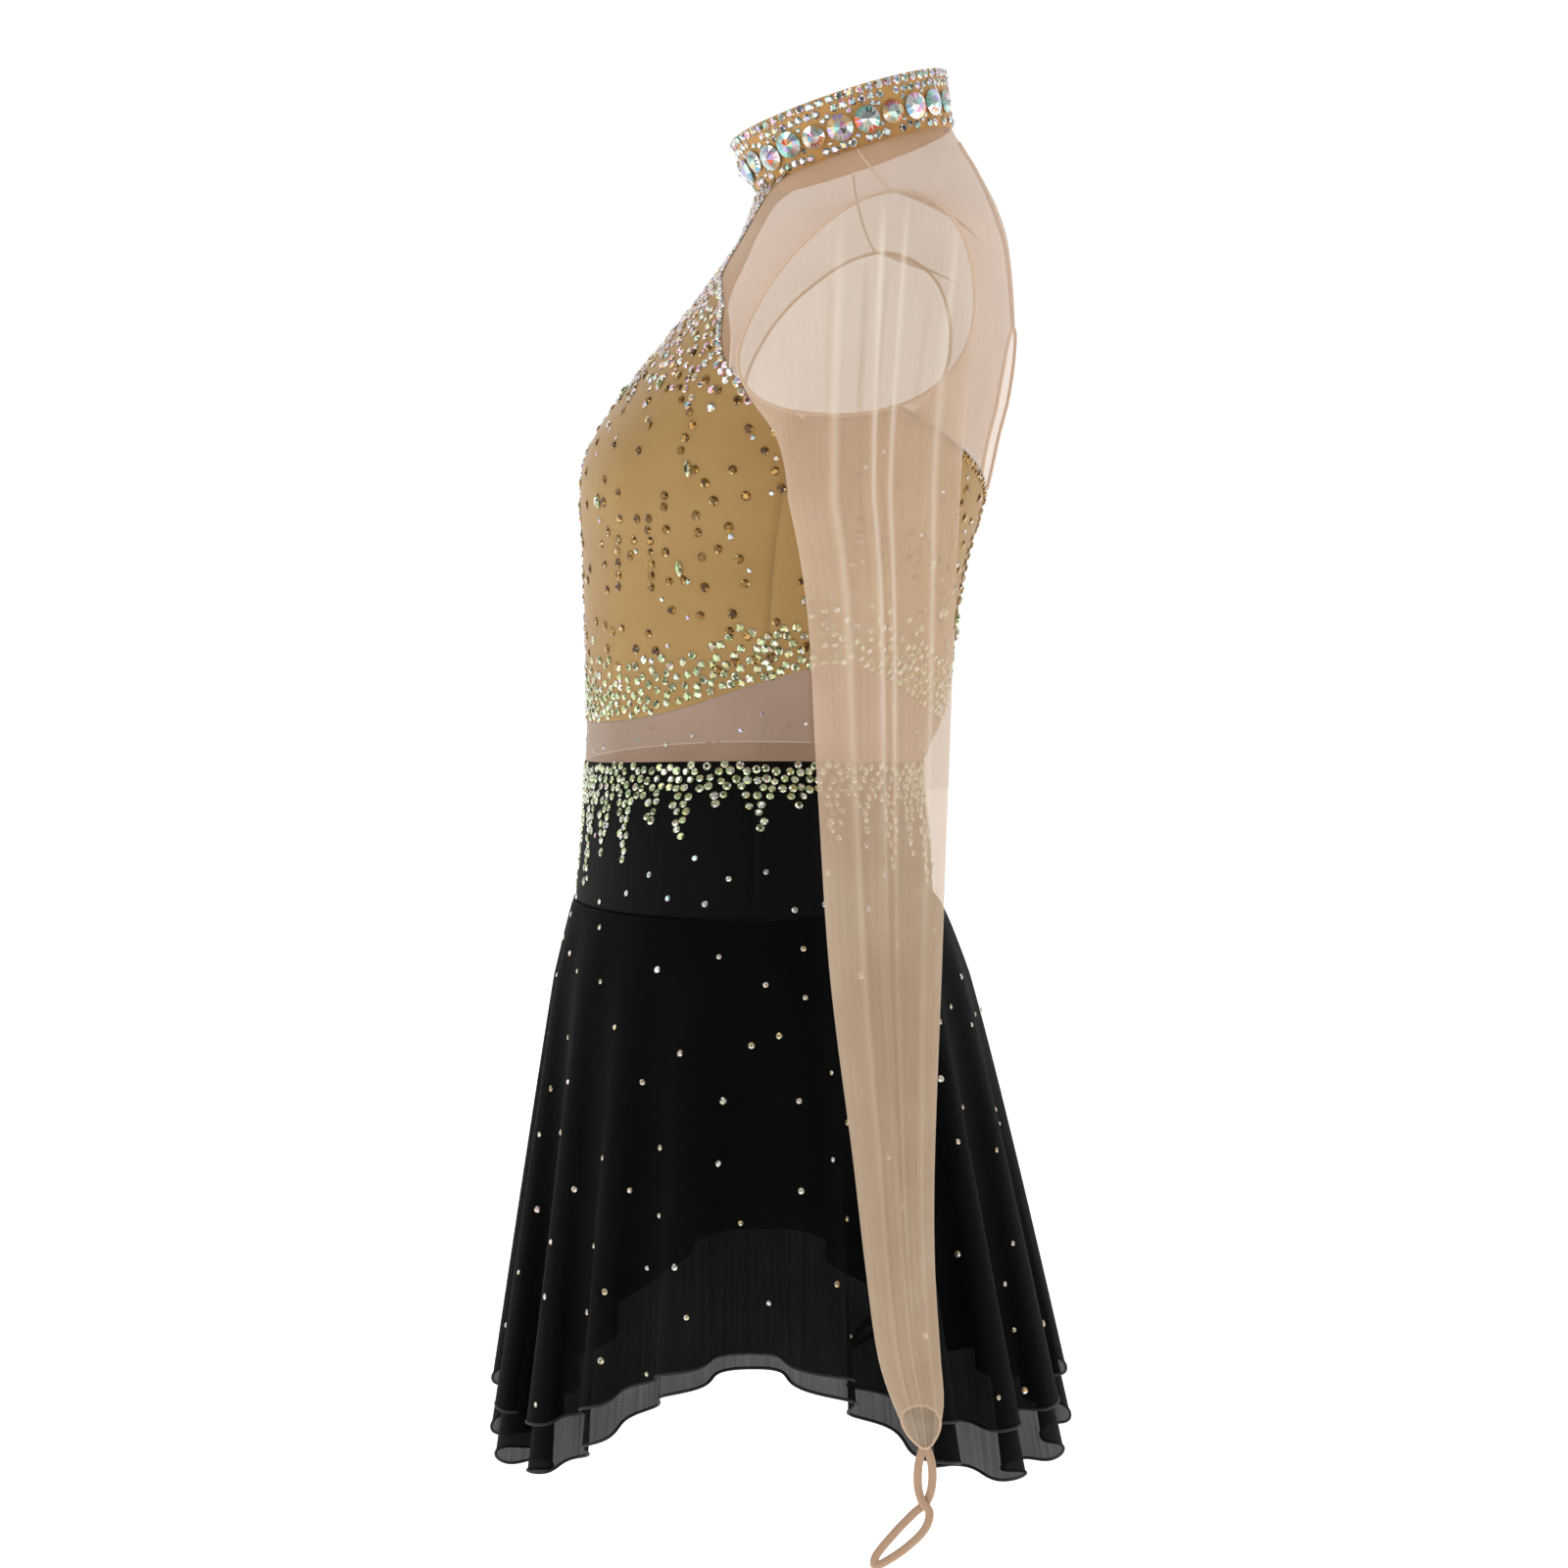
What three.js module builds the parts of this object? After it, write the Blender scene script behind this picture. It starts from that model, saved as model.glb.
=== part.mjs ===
// A long-sleeved skating and cheer dress, as it stands on the body: a stoned standing collar that snaps at
// the nape, a halter bodice, illusion mesh yokes and sleeves with finger loops, an open keyhole back, a mesh
// midriff, a black hip yoke, a skirt of two fluted layers, and briefs inside.
// Millimetres, +Z up. The wearer faces -Y, so +X is the wearer's left. The origin is the middle of the neck
// opening where the collar is sewn to the dress.
import * as THREE from "three";

// ---- driving dimensions ----
const COLLAR_HEIGHT = 34;
const COLLAR_WALL = 2.4;
const COLLAR_FLARE = 0.1; // how much wider the collar is at its top edge, as a share
const BODICE_CLOTH = 1.4; // lined stretch cloth
const MESH_CLOTH = 1.0; // stretch mesh with its seam allowance
const SKIRT_CLOTH = 1.0;
const SEAM_GAP = 0.5; // room between two panels that are sewn together
const ARMHOLE_GAP = 1.0; // room between the armhole edge and the sleeve's first ring
const FRONT_LENGTH = 331; // under layer of the skirt, hip seam to hem
const BACK_LENGTH = 324;
const SIDE_LENGTH = 247;
const OVER_LAYER_SHORTER = 30; // the upper skirt layer stops this far above the under layer's hem
const LAYER_ROOM = 4; // between the two skirt layers
const FLUTES = 18;
const FLUTE_DEPTH = 9; // in and out from the mean cone, at the hem
const SLEEVE_DROP = 682; // shoulder point to the cuff's point
const LOOP_DROP = 30; // the two strands of a finger loop
const LOOP_REACH = 34; // the finger loop below its crossing
const LOOP_WIDTH = 4;
const LOOP_CLOTH = 1.2;
const STONE_COUNT = 23;
const STONE_DIAMETER = 15;
const STONE_HEIGHT = 5;
const BRIEF_DROP = 118; // hip seam to crotch

const RAD = Math.PI / 180;

// ---- the body under the dress ----
// Rings from the hip seam up to the neck. Each has its front and back points [y, z], its half width, and how
// square it is. A ring's height is the middle of its front and back points.
const RINGS = [
  { front: [-163, -451], back: [55, -451], half: 165, square: 2.2 },
  { front: [-159, -410], back: [52, -410], half: 148, square: 2.2 },
  { front: [-157, -371], back: [49, -371], half: 125, square: 2.2 },
  { front: [-156, -344], back: [60, -344], half: 124, square: 2.2 },
  { front: [-156, -314], back: [66, -314], half: 128, square: 2.2 },
  { front: [-157, -284], back: [69, -284], half: 134, square: 2.2 },
  { front: [-158, -240], back: [77, -240], half: 142, square: 2.2 },
  { front: [-159, -202], back: [90, -200], half: 148, square: 2.3 },
  { front: [-153, -178], back: [96, -177], half: 151, square: 2.3 },
  { front: [-132, -146], back: [102, -149], half: 157, square: 2.3 },
  { front: [-99, -106], back: [103, -108], half: 166, square: 2.3 },
  { front: [-77, -78], back: [99, -62], half: 172, square: 2.3 },
  { front: [-64, -59], back: [93, -41], half: 171, square: 2.2 },
  { front: [-59, -47], back: [86, -24], half: 146, square: 2 },
  { front: [-56, -38], back: [79, -10], half: 116, square: 1.85 },
  { front: [-54, -31], back: [72, 1], half: 88, square: 1.85 },
  { front: [-51, -25], back: [65, 13], half: 57, square: 2 },
];
const HEIGHTS = RINGS.map((ring) => (ring.front[1] + ring.back[1]) / 2);
const HIP = HEIGHTS[0];
const NECK = HEIGHTS[HEIGHTS.length - 1];

// A smooth curve through (xs, ys) at x, with the slope at each point set by its two neighbours.
function smooth(xs, ys, x) {
  const last = xs.length - 1;
  let i = 0;
  while (i < last - 1 && x > xs[i + 1]) i++;
  const width = xs[i + 1] - xs[i];
  const slope = (k) => {
    const low = Math.max(k - 1, 0);
    const high = Math.min(k + 1, last);
    return (ys[high] - ys[low]) / (xs[high] - xs[low]);
  };
  const t = THREE.MathUtils.clamp((x - xs[i]) / width, 0, 1);
  const [t2, t3] = [t * t, t * t * t];
  return (
    ys[i] * (2 * t3 - 3 * t2 + 1) +
    ys[i + 1] * (3 * t2 - 2 * t3) +
    width * (slope(i) * (t3 - 2 * t2 + t) + slope(i + 1) * (t3 - t2))
  );
}

const bent = (value, power) => Math.sign(value) * Math.abs(value) ** power;

// The point of the body at an angle (degrees, 0 front, 90 the wearer's left, 180 back) and a ring height.
function bodyPoint(angle, height) {
  const at = (pick) => smooth(HEIGHTS, RINGS.map(pick), height);
  const [yFront, zFront] = [at((r) => r.front[0]), at((r) => r.front[1])];
  const [yBack, zBack] = [at((r) => r.back[0]), at((r) => r.back[1])];
  const power = 2 / at((r) => r.square);
  const forward = bent(Math.cos(angle * RAD), power);
  const y = (yFront + yBack) / 2 - (forward * (yBack - yFront)) / 2;
  const z = (zFront + zBack) / 2 - (forward * (zBack - zFront)) / 2;
  return new THREE.Vector3(at((r) => r.half) * bent(Math.sin(angle * RAD), power), y, z);
}

// The unit normal of a surface made by place(s, t), with s to the right and t up when seen from outside.
function normalOf(place, s, t) {
  const step = 1e-3;
  const clampT = (value) => THREE.MathUtils.clamp(value, 0, 1);
  const alongS = place(s + step, t).sub(place(s - step, t));
  const alongT = place(s, clampT(t + step)).sub(place(s, clampT(t - step)));
  return alongS.cross(alongT).normalize();
}

// A closed sheet of cloth: the surface place(s, t), both from 0 to 1, moved out by `lift`, and the same surface
// a thickness inside it, joined round the edges. A tube is round in s and has no side edges.
function clothSolid(place, thickness, across, up, { round = false, lift = 0 } = {}) {
  const columns = round ? across : across + 1;
  const points = [];
  for (const depth of [lift, lift - thickness]) {
    for (let j = 0; j <= up; j++) {
      for (let i = 0; i < columns; i++) {
        const [s, t] = [i / across, j / up];
        const point = place(s, t).addScaledVector(normalOf(place, s, t), depth);
        points.push(point.x, point.y, point.z);
      }
    }
  }
  const layer = columns * (up + 1);
  const at = (i, j, inside) => inside * layer + j * columns + (i % columns);
  const faces = [];
  const quad = (a, b, c, d) => faces.push(a, b, c, a, c, d);
  for (let j = 0; j < up; j++) {
    for (let i = 0; i < across; i++) {
      quad(at(i, j, 0), at(i + 1, j, 0), at(i + 1, j + 1, 0), at(i, j + 1, 0));
      quad(at(i, j, 1), at(i, j + 1, 1), at(i + 1, j + 1, 1), at(i + 1, j, 1));
    }
  }
  for (let i = 0; i < across; i++) {
    quad(at(i, 0, 0), at(i, 0, 1), at(i + 1, 0, 1), at(i + 1, 0, 0));
    quad(at(i, up, 0), at(i + 1, up, 0), at(i + 1, up, 1), at(i, up, 1));
  }
  for (let j = 0; j < up && !round; j++) {
    quad(at(0, j, 0), at(0, j + 1, 0), at(0, j + 1, 1), at(0, j, 1));
    quad(at(across, j, 0), at(across, j, 1), at(across, j + 1, 1), at(across, j + 1, 0));
  }
  return facesOut(points, faces);
}

// A geometry from points and triangles, turned so that its faces point out.
function facesOut(points, faces) {
  const corner = (k) => new THREE.Vector3().fromArray(points, 3 * faces[k]);
  let volume = 0;
  for (let k = 0; k < faces.length; k += 3) volume += corner(k).dot(corner(k + 1).cross(corner(k + 2)));
  if (volume < 0) faces.reverse();
  const geometry = new THREE.BufferGeometry();
  geometry.setAttribute("position", new THREE.Float32BufferAttribute(points, 3));
  return geometry.setIndex(faces);
}

// ---- cloths ----
const cloth = (color, roughness) => new THREE.MeshStandardMaterial({ color, roughness, metalness: 0 });
const goldLycra = cloth("#c9a05a", 0.55);
const nudeMesh = cloth("#d9bfa4", 0.7);
const blackMesh = cloth("#101011", 0.75);
const blackLycra = cloth("#141416", 0.6);
const foam = cloth("#e0c9ae", 0.9);
const elastic = cloth("#1c1c1e", 0.8);
const crystal = new THREE.MeshStandardMaterial({ color: "#dfe8ee", roughness: 0.05, metalness: 0.2 });
const nickel = new THREE.MeshStandardMaterial({ color: "#b9bbbd", roughness: 0.3, metalness: 1 });

const dress = new THREE.Group();
function add(name, geometry, material, parent = dress) {
  const mesh = new THREE.Mesh(geometry, material);
  mesh.name = name;
  parent.add(mesh);
  return mesh;
}
const SIDES = [
  ["left", 1],
  ["right", -1],
];
const mirrored = (point, side) => (side > 0 ? point : point.set(-point.x, point.y, point.z));

// ---- seam lines, as ring heights and angles ----
// The armhole is an oval on the body, round the shoulder.
const ARMHOLE = { angle: 96, height: -107, wide: 34, tall: 60 };
// The keyhole of the open back.
const KEYHOLE = { angle: 180, height: -167, wide: 18, tall: 60 };
const HALTER_MEETS_ARMHOLE = -150;
const WAIST = -369;
const SHOULDER_SEAM = 90; // where the front and back yokes meet
const BAND_MEETS_ARMHOLE = 112;
const BAND_MEETS_KEYHOLE = 167;

// Where the armhole edge lies at a height, on its front (-1) or back (+1) half; `grow` widens the hole.
function armholeAngle(height, half, grow = 0) {
  const rise = (height - ARMHOLE.height) / (ARMHOLE.tall + grow);
  return ARMHOLE.angle + half * (ARMHOLE.wide + grow / 2) * Math.sqrt(Math.max(0, 1 - rise * rise));
}
function ovalHeight(oval, angle, half, grow = 0) {
  const along = (angle - oval.angle) / (oval.wide + grow / 2);
  return oval.height + half * (oval.tall + grow) * Math.sqrt(Math.max(0, 1 - along * along));
}
const armholeTop = ARMHOLE.height + ARMHOLE.tall;
const armholeFoot = ARMHOLE.height - ARMHOLE.tall;

// The lower edge of the bodice is lowest at the front and back and rises at the sides.
const HEM = { turn: [0, 40, 65, 85, 105, 125, 150, 180], height: [-345, -342, -334, -321, -309, -316, -336, -347] };
const bodiceHem = (angle) => smooth(HEM.turn, HEM.height, Math.abs(angle > 180 ? 360 - angle : angle));
const waistLine = (angle) => WAIST + 5 * Math.sin(angle * RAD) ** 2;

// Half the halter's width as seen from the front, from the armhole up to the collar.
const HALTER = { height: [-150, -135, -105, -90, -79, -60, -40, -2], half: [150, 141, 124, 108, 92, 72, 56, 41] };
function halterAngle(height) {
  const half = smooth([...HALTER.height], HALTER.half, height);
  const ring = smooth(HEIGHTS, RINGS.map((r) => r.half), height);
  const square = smooth(HEIGHTS, RINGS.map((r) => r.square), height);
  return Math.asin(Math.min(1, (half / ring) ** (square / 2))) / RAD;
}

// ---- bodice: a halter front and a low back band ----
const bodiceTopOfFront = NECK - SEAM_GAP;
function bodiceFrontEdge(height) {
  if (height > HALTER_MEETS_ARMHOLE) return halterAngle(height);
  return Math.min(SHOULDER_SEAM - 0.3, armholeAngle(height, -1, ARMHOLE_GAP));
}
function bodiceFront(s, t) {
  const height = THREE.MathUtils.lerp(bodiceHem(0), bodiceTopOfFront, t);
  const angle = (2 * s - 1) * bodiceFrontEdge(Math.max(height, armholeFoot - ARMHOLE_GAP));
  const turned = (2 * s - 1) * (height < armholeFoot ? SHOULDER_SEAM - 0.3 : 1);
  const side = height < armholeFoot ? turned : angle;
  const fade = Math.max(0, 1 - t / 0.4);
  return bodyPoint(side, height + (bodiceHem(side) - bodiceHem(0)) * fade);
}
add("front_bodice", clothSolid(bodiceFront, BODICE_CLOTH, 30, 26), goldLycra);

function backBandTop(angle) {
  const turn = Math.abs(angle - 180);
  const mirroredAngle = 180 - turn;
  if (mirroredAngle < BAND_MEETS_ARMHOLE) return ovalHeight(ARMHOLE, mirroredAngle, -1, ARMHOLE_GAP);
  if (mirroredAngle > BAND_MEETS_KEYHOLE) return ovalHeight(KEYHOLE, mirroredAngle, -1);
  const share = (mirroredAngle - BAND_MEETS_ARMHOLE) / (BAND_MEETS_KEYHOLE - BAND_MEETS_ARMHOLE);
  const [from, to] = [
    ovalHeight(ARMHOLE, BAND_MEETS_ARMHOLE, -1, ARMHOLE_GAP),
    ovalHeight(KEYHOLE, BAND_MEETS_KEYHOLE, -1),
  ];
  return THREE.MathUtils.lerp(from, to, share);
}
function backBand(s, t) {
  const angle = THREE.MathUtils.lerp(SHOULDER_SEAM + 0.3, 270 - 0.3, s);
  return bodyPoint(angle, THREE.MathUtils.lerp(bodiceHem(angle), backBandTop(angle), t));
}
add("back_bodice", clothSolid(backBand, BODICE_CLOTH, 30, 6), goldLycra);

// ---- yokes: mesh over the shoulders ----
// A yoke is ruled between two edge lines on the body, each given as [angle, height] for t from the collar down.
function yokeSurface(edgeA, edgeB, side) {
  return (s, t) => {
    const [a, b] = [edgeA(t), edgeB(t)];
    const angle = THREE.MathUtils.lerp(a[0], b[0], s);
    const height = THREE.MathUtils.lerp(a[1], b[1], s);
    return mirrored(bodyPoint(angle, height), side);
  };
}
// Down the shoulder seam, then round the armhole on one half to a given height.
const SEAM_SHARE = 0.34;
function shoulderEdge(half, seam, foot) {
  const grown = ARMHOLE.tall + ARMHOLE_GAP;
  const top = ARMHOLE.height + grown;
  const endTurn = Math.asin((foot - ARMHOLE.height) / grown);
  const startAngle = ARMHOLE.angle;
  return (t) => {
    if (t < SEAM_SHARE) {
      const share = t / SEAM_SHARE;
      return [THREE.MathUtils.lerp(seam, startAngle, share * share), THREE.MathUtils.lerp(NECK - SEAM_GAP, top, share)];
    }
    const turn = THREE.MathUtils.lerp(Math.PI / 2, endTurn, (t - SEAM_SHARE) / (1 - SEAM_SHARE));
    const wide = ARMHOLE.wide + ARMHOLE_GAP / 2;
    return [startAngle + half * wide * Math.cos(turn), ARMHOLE.height + grown * Math.sin(turn)];
  };
}
const YOKE_FOOT = HALTER_MEETS_ARMHOLE + 6;
const SEAM_HALF_ANGLE = 0.25;
function halterEdge(t) {
  const height = THREE.MathUtils.lerp(NECK - SEAM_GAP, YOKE_FOOT, t);
  return [halterAngle(height) + 0.9, height];
}
const frontShoulder = shoulderEdge(-1, SHOULDER_SEAM, YOKE_FOOT - 2);
const frontShoulderEdge = (t) => {
  const [angle, height] = frontShoulder(t);
  return [t < SEAM_SHARE ? angle - SEAM_HALF_ANGLE : angle, height];
};

// The back yoke runs from the shoulder seam and armhole to the slit at the centre back and the keyhole.
const BAND_GAP = SEAM_GAP + 0.3;
const backShoulder = shoulderEdge(1, SHOULDER_SEAM, ovalHeight(ARMHOLE, BAND_MEETS_ARMHOLE, -1) + BAND_GAP);
const backShoulderEdge = (t) => {
  const [angle, height] = backShoulder(t);
  return [t < SEAM_SHARE ? angle + SEAM_HALF_ANGLE : angle, height];
};
const SLIT_HALF = 0.6;
const keyholeTop = KEYHOLE.height + KEYHOLE.tall;
function centreBackEdge(t) {
  if (t < SEAM_SHARE) {
    return [180 - SLIT_HALF, THREE.MathUtils.lerp(NECK - SEAM_GAP, keyholeTop, t / SEAM_SHARE)];
  }
  const endTurn = -Math.acos((KEYHOLE.angle - BAND_MEETS_KEYHOLE) / KEYHOLE.wide);
  const turn = THREE.MathUtils.lerp(Math.PI / 2, endTurn, (t - SEAM_SHARE) / (1 - SEAM_SHARE));
  const foot = t === 1 ? BAND_GAP : 0;
  return [180 - SLIT_HALF - KEYHOLE.wide * Math.cos(turn), KEYHOLE.height + KEYHOLE.tall * Math.sin(turn) + foot];
}
for (const [name, side] of SIDES) {
  add(`front_yoke_${name}`, clothSolid(yokeSurface(halterEdge, frontShoulderEdge, side), MESH_CLOTH, 6, 14), nudeMesh);
  add(`back_yoke_${name}`, clothSolid(yokeSurface(backShoulderEdge, centreBackEdge, side), MESH_CLOTH, 9, 18), nudeMesh);
}

// ---- midriff and hip yoke, each with side seams ----
const HALVES = [
  ["front", -90],
  ["back", 90],
];
for (const [name, start] of HALVES) {
  const angleAt = (s) => start + 0.3 + s * (180 - 0.6);
  const midriff = (s, t) => {
    const angle = angleAt(s);
    const [low, high] = [waistLine(angle) + SEAM_GAP, bodiceHem(angle) - SEAM_GAP];
    return bodyPoint(angle, THREE.MathUtils.lerp(low, high, t));
  };
  const hip = (s, t) => {
    const angle = angleAt(s);
    return bodyPoint(angle, THREE.MathUtils.lerp(HIP + SEAM_GAP / 2, waistLine(angle), t));
  };
  add(`${name}_midriff`, clothSolid(midriff, MESH_CLOTH, 24, 2), nudeMesh);
  add(`${name}_hip_yoke`, clothSolid(hip, BODICE_CLOTH, 24, 4), blackLycra);
}

// The elastic lies inside the top of the hip yoke, all the way round.
const ELASTIC_WIDTH = 8;
const waistElastic = (s, t) => {
  const angle = s * 360;
  return bodyPoint(angle, waistLine(angle) - 3 - ELASTIC_WIDTH * (1 - t));
};
add(
  "waist_elastic",
  clothSolid(waistElastic, 1, 48, 1, { round: true, lift: -BODICE_CLOTH - 0.4 }),
  elastic,
);

// ---- skirt: two layers, cut longer at the front and back, that fall in flutes ----
// How far the mean cone stands out from the hip seam at a share of the way down.
const FLARE = { front: 34, side: 58, back: 78 };
function skirtPoint(angle, drop, lift) {
  const seam = bodyPoint(angle, HIP);
  const ahead = Math.cos(angle * RAD);
  const side = Math.sin(angle * RAD) ** 2;
  const share = Math.sqrt(drop / FRONT_LENGTH) * 0.35 + (0.65 * drop) / FRONT_LENGTH;
  const reach = side * FLARE.side + (1 - side) * (ahead > 0 ? FLARE.front : FLARE.back);
  const flute = FLUTE_DEPTH * (drop / FRONT_LENGTH) * Math.cos(FLUTES * angle * RAD + 1.1 * Math.sin(2 * angle * RAD));
  const out = new THREE.Vector3(seam.x / 1.4, seam.y + 58, 0).normalize();
  return seam.addScaledVector(out, reach * share + flute * 1 + lift).setZ(HIP - drop);
}
function skirtLength(angle, shorter) {
  const front = Math.cos(angle * RAD) > 0;
  const sideways = Math.abs(Math.sin(angle * RAD));
  const long = (front ? FRONT_LENGTH : BACK_LENGTH) - SIDE_LENGTH;
  return SIDE_LENGTH + long * (1 - sideways ** (front ? 4.5 : 6)) - shorter * (1 - 0.7 * sideways ** 5);
}
const SKIRT_SEAM_ROOM = 1.2;
for (const [name, start] of HALVES) {
  const layer = (lift, shorter) => (s, t) => {
    const angle = start + 0.3 + s * (180 - 0.6);
    const drop = SEAM_GAP / 2 + (1 - t) * skirtLength(angle, shorter);
    return skirtPoint(angle, drop, lift);
  };
  const under = layer(0, 0);
  const over = (s, t) => {
    const spread = SKIRT_SEAM_ROOM + (LAYER_ROOM - SKIRT_SEAM_ROOM) * Math.min(1, 6 * (1 - t));
    return layer(SKIRT_CLOTH + spread - 0.6, OVER_LAYER_SHORTER)(s, t);
  };
  add(`${name}_under_skirt`, clothSolid(under, SKIRT_CLOTH, 45, 5), blackMesh);
  add(`${name}_over_skirt`, clothSolid(over, SKIRT_CLOTH, 45, 5), blackMesh);
}

// ---- briefs: front and back panels, a gusset between them, and an elastic round each leg ----
const CROTCH = { y: -58, z: HIP - BRIEF_DROP, wide: 100, deep: 38, turn: 20 };
const BRIEF_TOP = HIP + 6;
const BRIEF_INSET = BODICE_CLOTH + 0.8; // inside the hip yoke
const BRIEF_SQUARE = 2 / 2.2;
// A panel is a half ring at the hip that gets smaller and narrower down to the gusset, so that its side
// edges leave room for the thighs. Direction -1 is the front.
function briefPanel(direction) {
  const [side, end] = [bodyPoint(90, BRIEF_TOP), bodyPoint(direction < 0 ? 0 : 180, BRIEF_TOP)];
  const [topWide, topDeep] = [side.x - BRIEF_INSET, Math.abs(end.y - side.y) - BRIEF_INSET];
  return (s, t) => {
    const down = 1 - t;
    const turn = (2 * s - 1) * THREE.MathUtils.lerp(89.6, CROTCH.turn, down ** 0.8) * RAD;
    const wide = THREE.MathUtils.lerp(topWide, CROTCH.wide, down ** 1.2);
    const deep = THREE.MathUtils.lerp(topDeep, CROTCH.deep, down ** 2.5);
    return new THREE.Vector3(
      -direction * wide * bent(Math.sin(turn), BRIEF_SQUARE),
      THREE.MathUtils.lerp(side.y, CROTCH.y, down) + direction * deep * bent(Math.cos(turn), BRIEF_SQUARE),
      THREE.MathUtils.lerp(BRIEF_TOP, CROTCH.z, down),
    );
  };
}
const briefFront = briefPanel(-1);
const briefBack = briefPanel(1);
const BRIEF_CLOTH = 1.2;
add("brief_front", clothSolid(briefFront, BRIEF_CLOTH, 18, 8), blackLycra);
add("brief_back", clothSolid(briefBack, BRIEF_CLOTH, 18, 8), blackLycra);

const GUSSET_ROOM = 1.25;
function gussetPoint(s, t) {
  const [front, back] = [briefFront(s, 0), briefBack(1 - s, 0)];
  const y = THREE.MathUtils.lerp(front.y + GUSSET_ROOM, back.y - GUSSET_ROOM, t);
  const sag = 8 * Math.sin(t * Math.PI);
  return new THREE.Vector3(front.x, y, front.z - sag);
}
add("gusset", clothSolid((s, t) => gussetPoint(1 - s, t), BRIEF_CLOTH, 6, 6), blackLycra);

// ---- bust cups: thin foam domes inside the bodice ----
const CUP = { angle: 33, height: -205, wide: 21, tall: 48, foam: 7, rim: 1.2, room: 1.25 };
function cupSolid(side) {
  const [rings, spokes] = [5, 20];
  const clear = BODICE_CLOTH + CUP.room;
  const points = [];
  const faces = [];
  const place = (r, turn) => (s, t) =>
    bodyPoint(side * (CUP.angle + CUP.wide * r * Math.cos(turn)) + (s - 0.5) * 20, CUP.height + CUP.tall * r * Math.sin(turn) + (t - 0.5) * 20);
  const put = (r, turn, depth) => {
    const surface = place(r, turn);
    const point = surface(0.5, 0.5).addScaledVector(normalOf(surface, 0.5, 0.5), -depth);
    points.push(point.x, point.y, point.z);
  };
  const thick = (r) => CUP.rim + (CUP.foam - CUP.rim) * (1 - r * r);
  for (const inside of [0, 1]) {
    put(0, 0, clear + inside * thick(0));
    for (let k = 1; k <= rings; k++) {
      for (let i = 0; i < spokes; i++) put(k / rings, (2 * Math.PI * i) / spokes, clear + inside * thick(k / rings));
    }
  }
  const layer = 1 + rings * spokes;
  const at = (k, i, inside) => inside * layer + (k ? 1 + (k - 1) * spokes + (i % spokes) : 0);
  for (const inside of [0, 1]) {
    for (let k = 0; k < rings; k++) {
      for (let i = 0; i < spokes; i++) {
        const [a, b] = [at(k, i, inside), at(k, i + 1, inside)];
        const [c, d] = [at(k + 1, i + 1, inside), at(k + 1, i, inside)];
        const turned = inside ? [[a, c, d], [a, b, c]] : [[a, d, c], [a, c, b]];
        turned.forEach((face, n) => {
          if (k || n !== 1) faces.push(...face);
        });
      }
    }
  }
  for (let i = 0; i < spokes; i++) {
    const [a, b] = [at(rings, i, 0), at(rings, i + 1, 0)];
    const [c, d] = [at(rings, i + 1, 1), at(rings, i, 1)];
    faces.push(a, d, c, a, c, b);
  }
  return facesOut(points, faces);
}
for (const [name, side] of SIDES) add(`bust_cup_${name}`, cupSolid(side), foam);

// ---- sleeves: a flat-hanging tube from the armhole to a pointed cuff, in a top piece and an under piece ----
const SHOULDER = bodyPoint(ARMHOLE.angle, armholeTop);
// The hanging tube, as distances below the shoulder point: middle [x, y], half depth across and half width.
const SLEEVE = {
  drop: [0, 109, 217, 323, 429, 533, 585, 635, 661, 682],
  x: [172, 196, 206, 215, 224, 234, 240, 246, 250, 254],
  y: [8, 9, 16.5, 18, 19.5, 24, 27, 32, 37, 40],
  deep: [14, 15, 15, 14, 12, 10, 9, 7.5, 6, 3.5],
  wide: [62, 55, 41.5, 36, 30.5, 22, 19, 17, 13.5, 6],
};
const CAP_DROP = 170; // below this the sleeve is a plain tube
const CUFF_SLANT = 20; // the outer side of the cuff reaches this much lower than the inner side
function sleeveRing(turn, drop) {
  const at = (key) => smooth(SLEEVE.drop, SLEEVE[key], drop);
  const y = at("y") - at("wide") * Math.cos(turn);
  return new THREE.Vector3(at("x") + at("deep") * bent(Math.sin(turn), 0.8), y, SHOULDER.z - drop);
}
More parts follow.
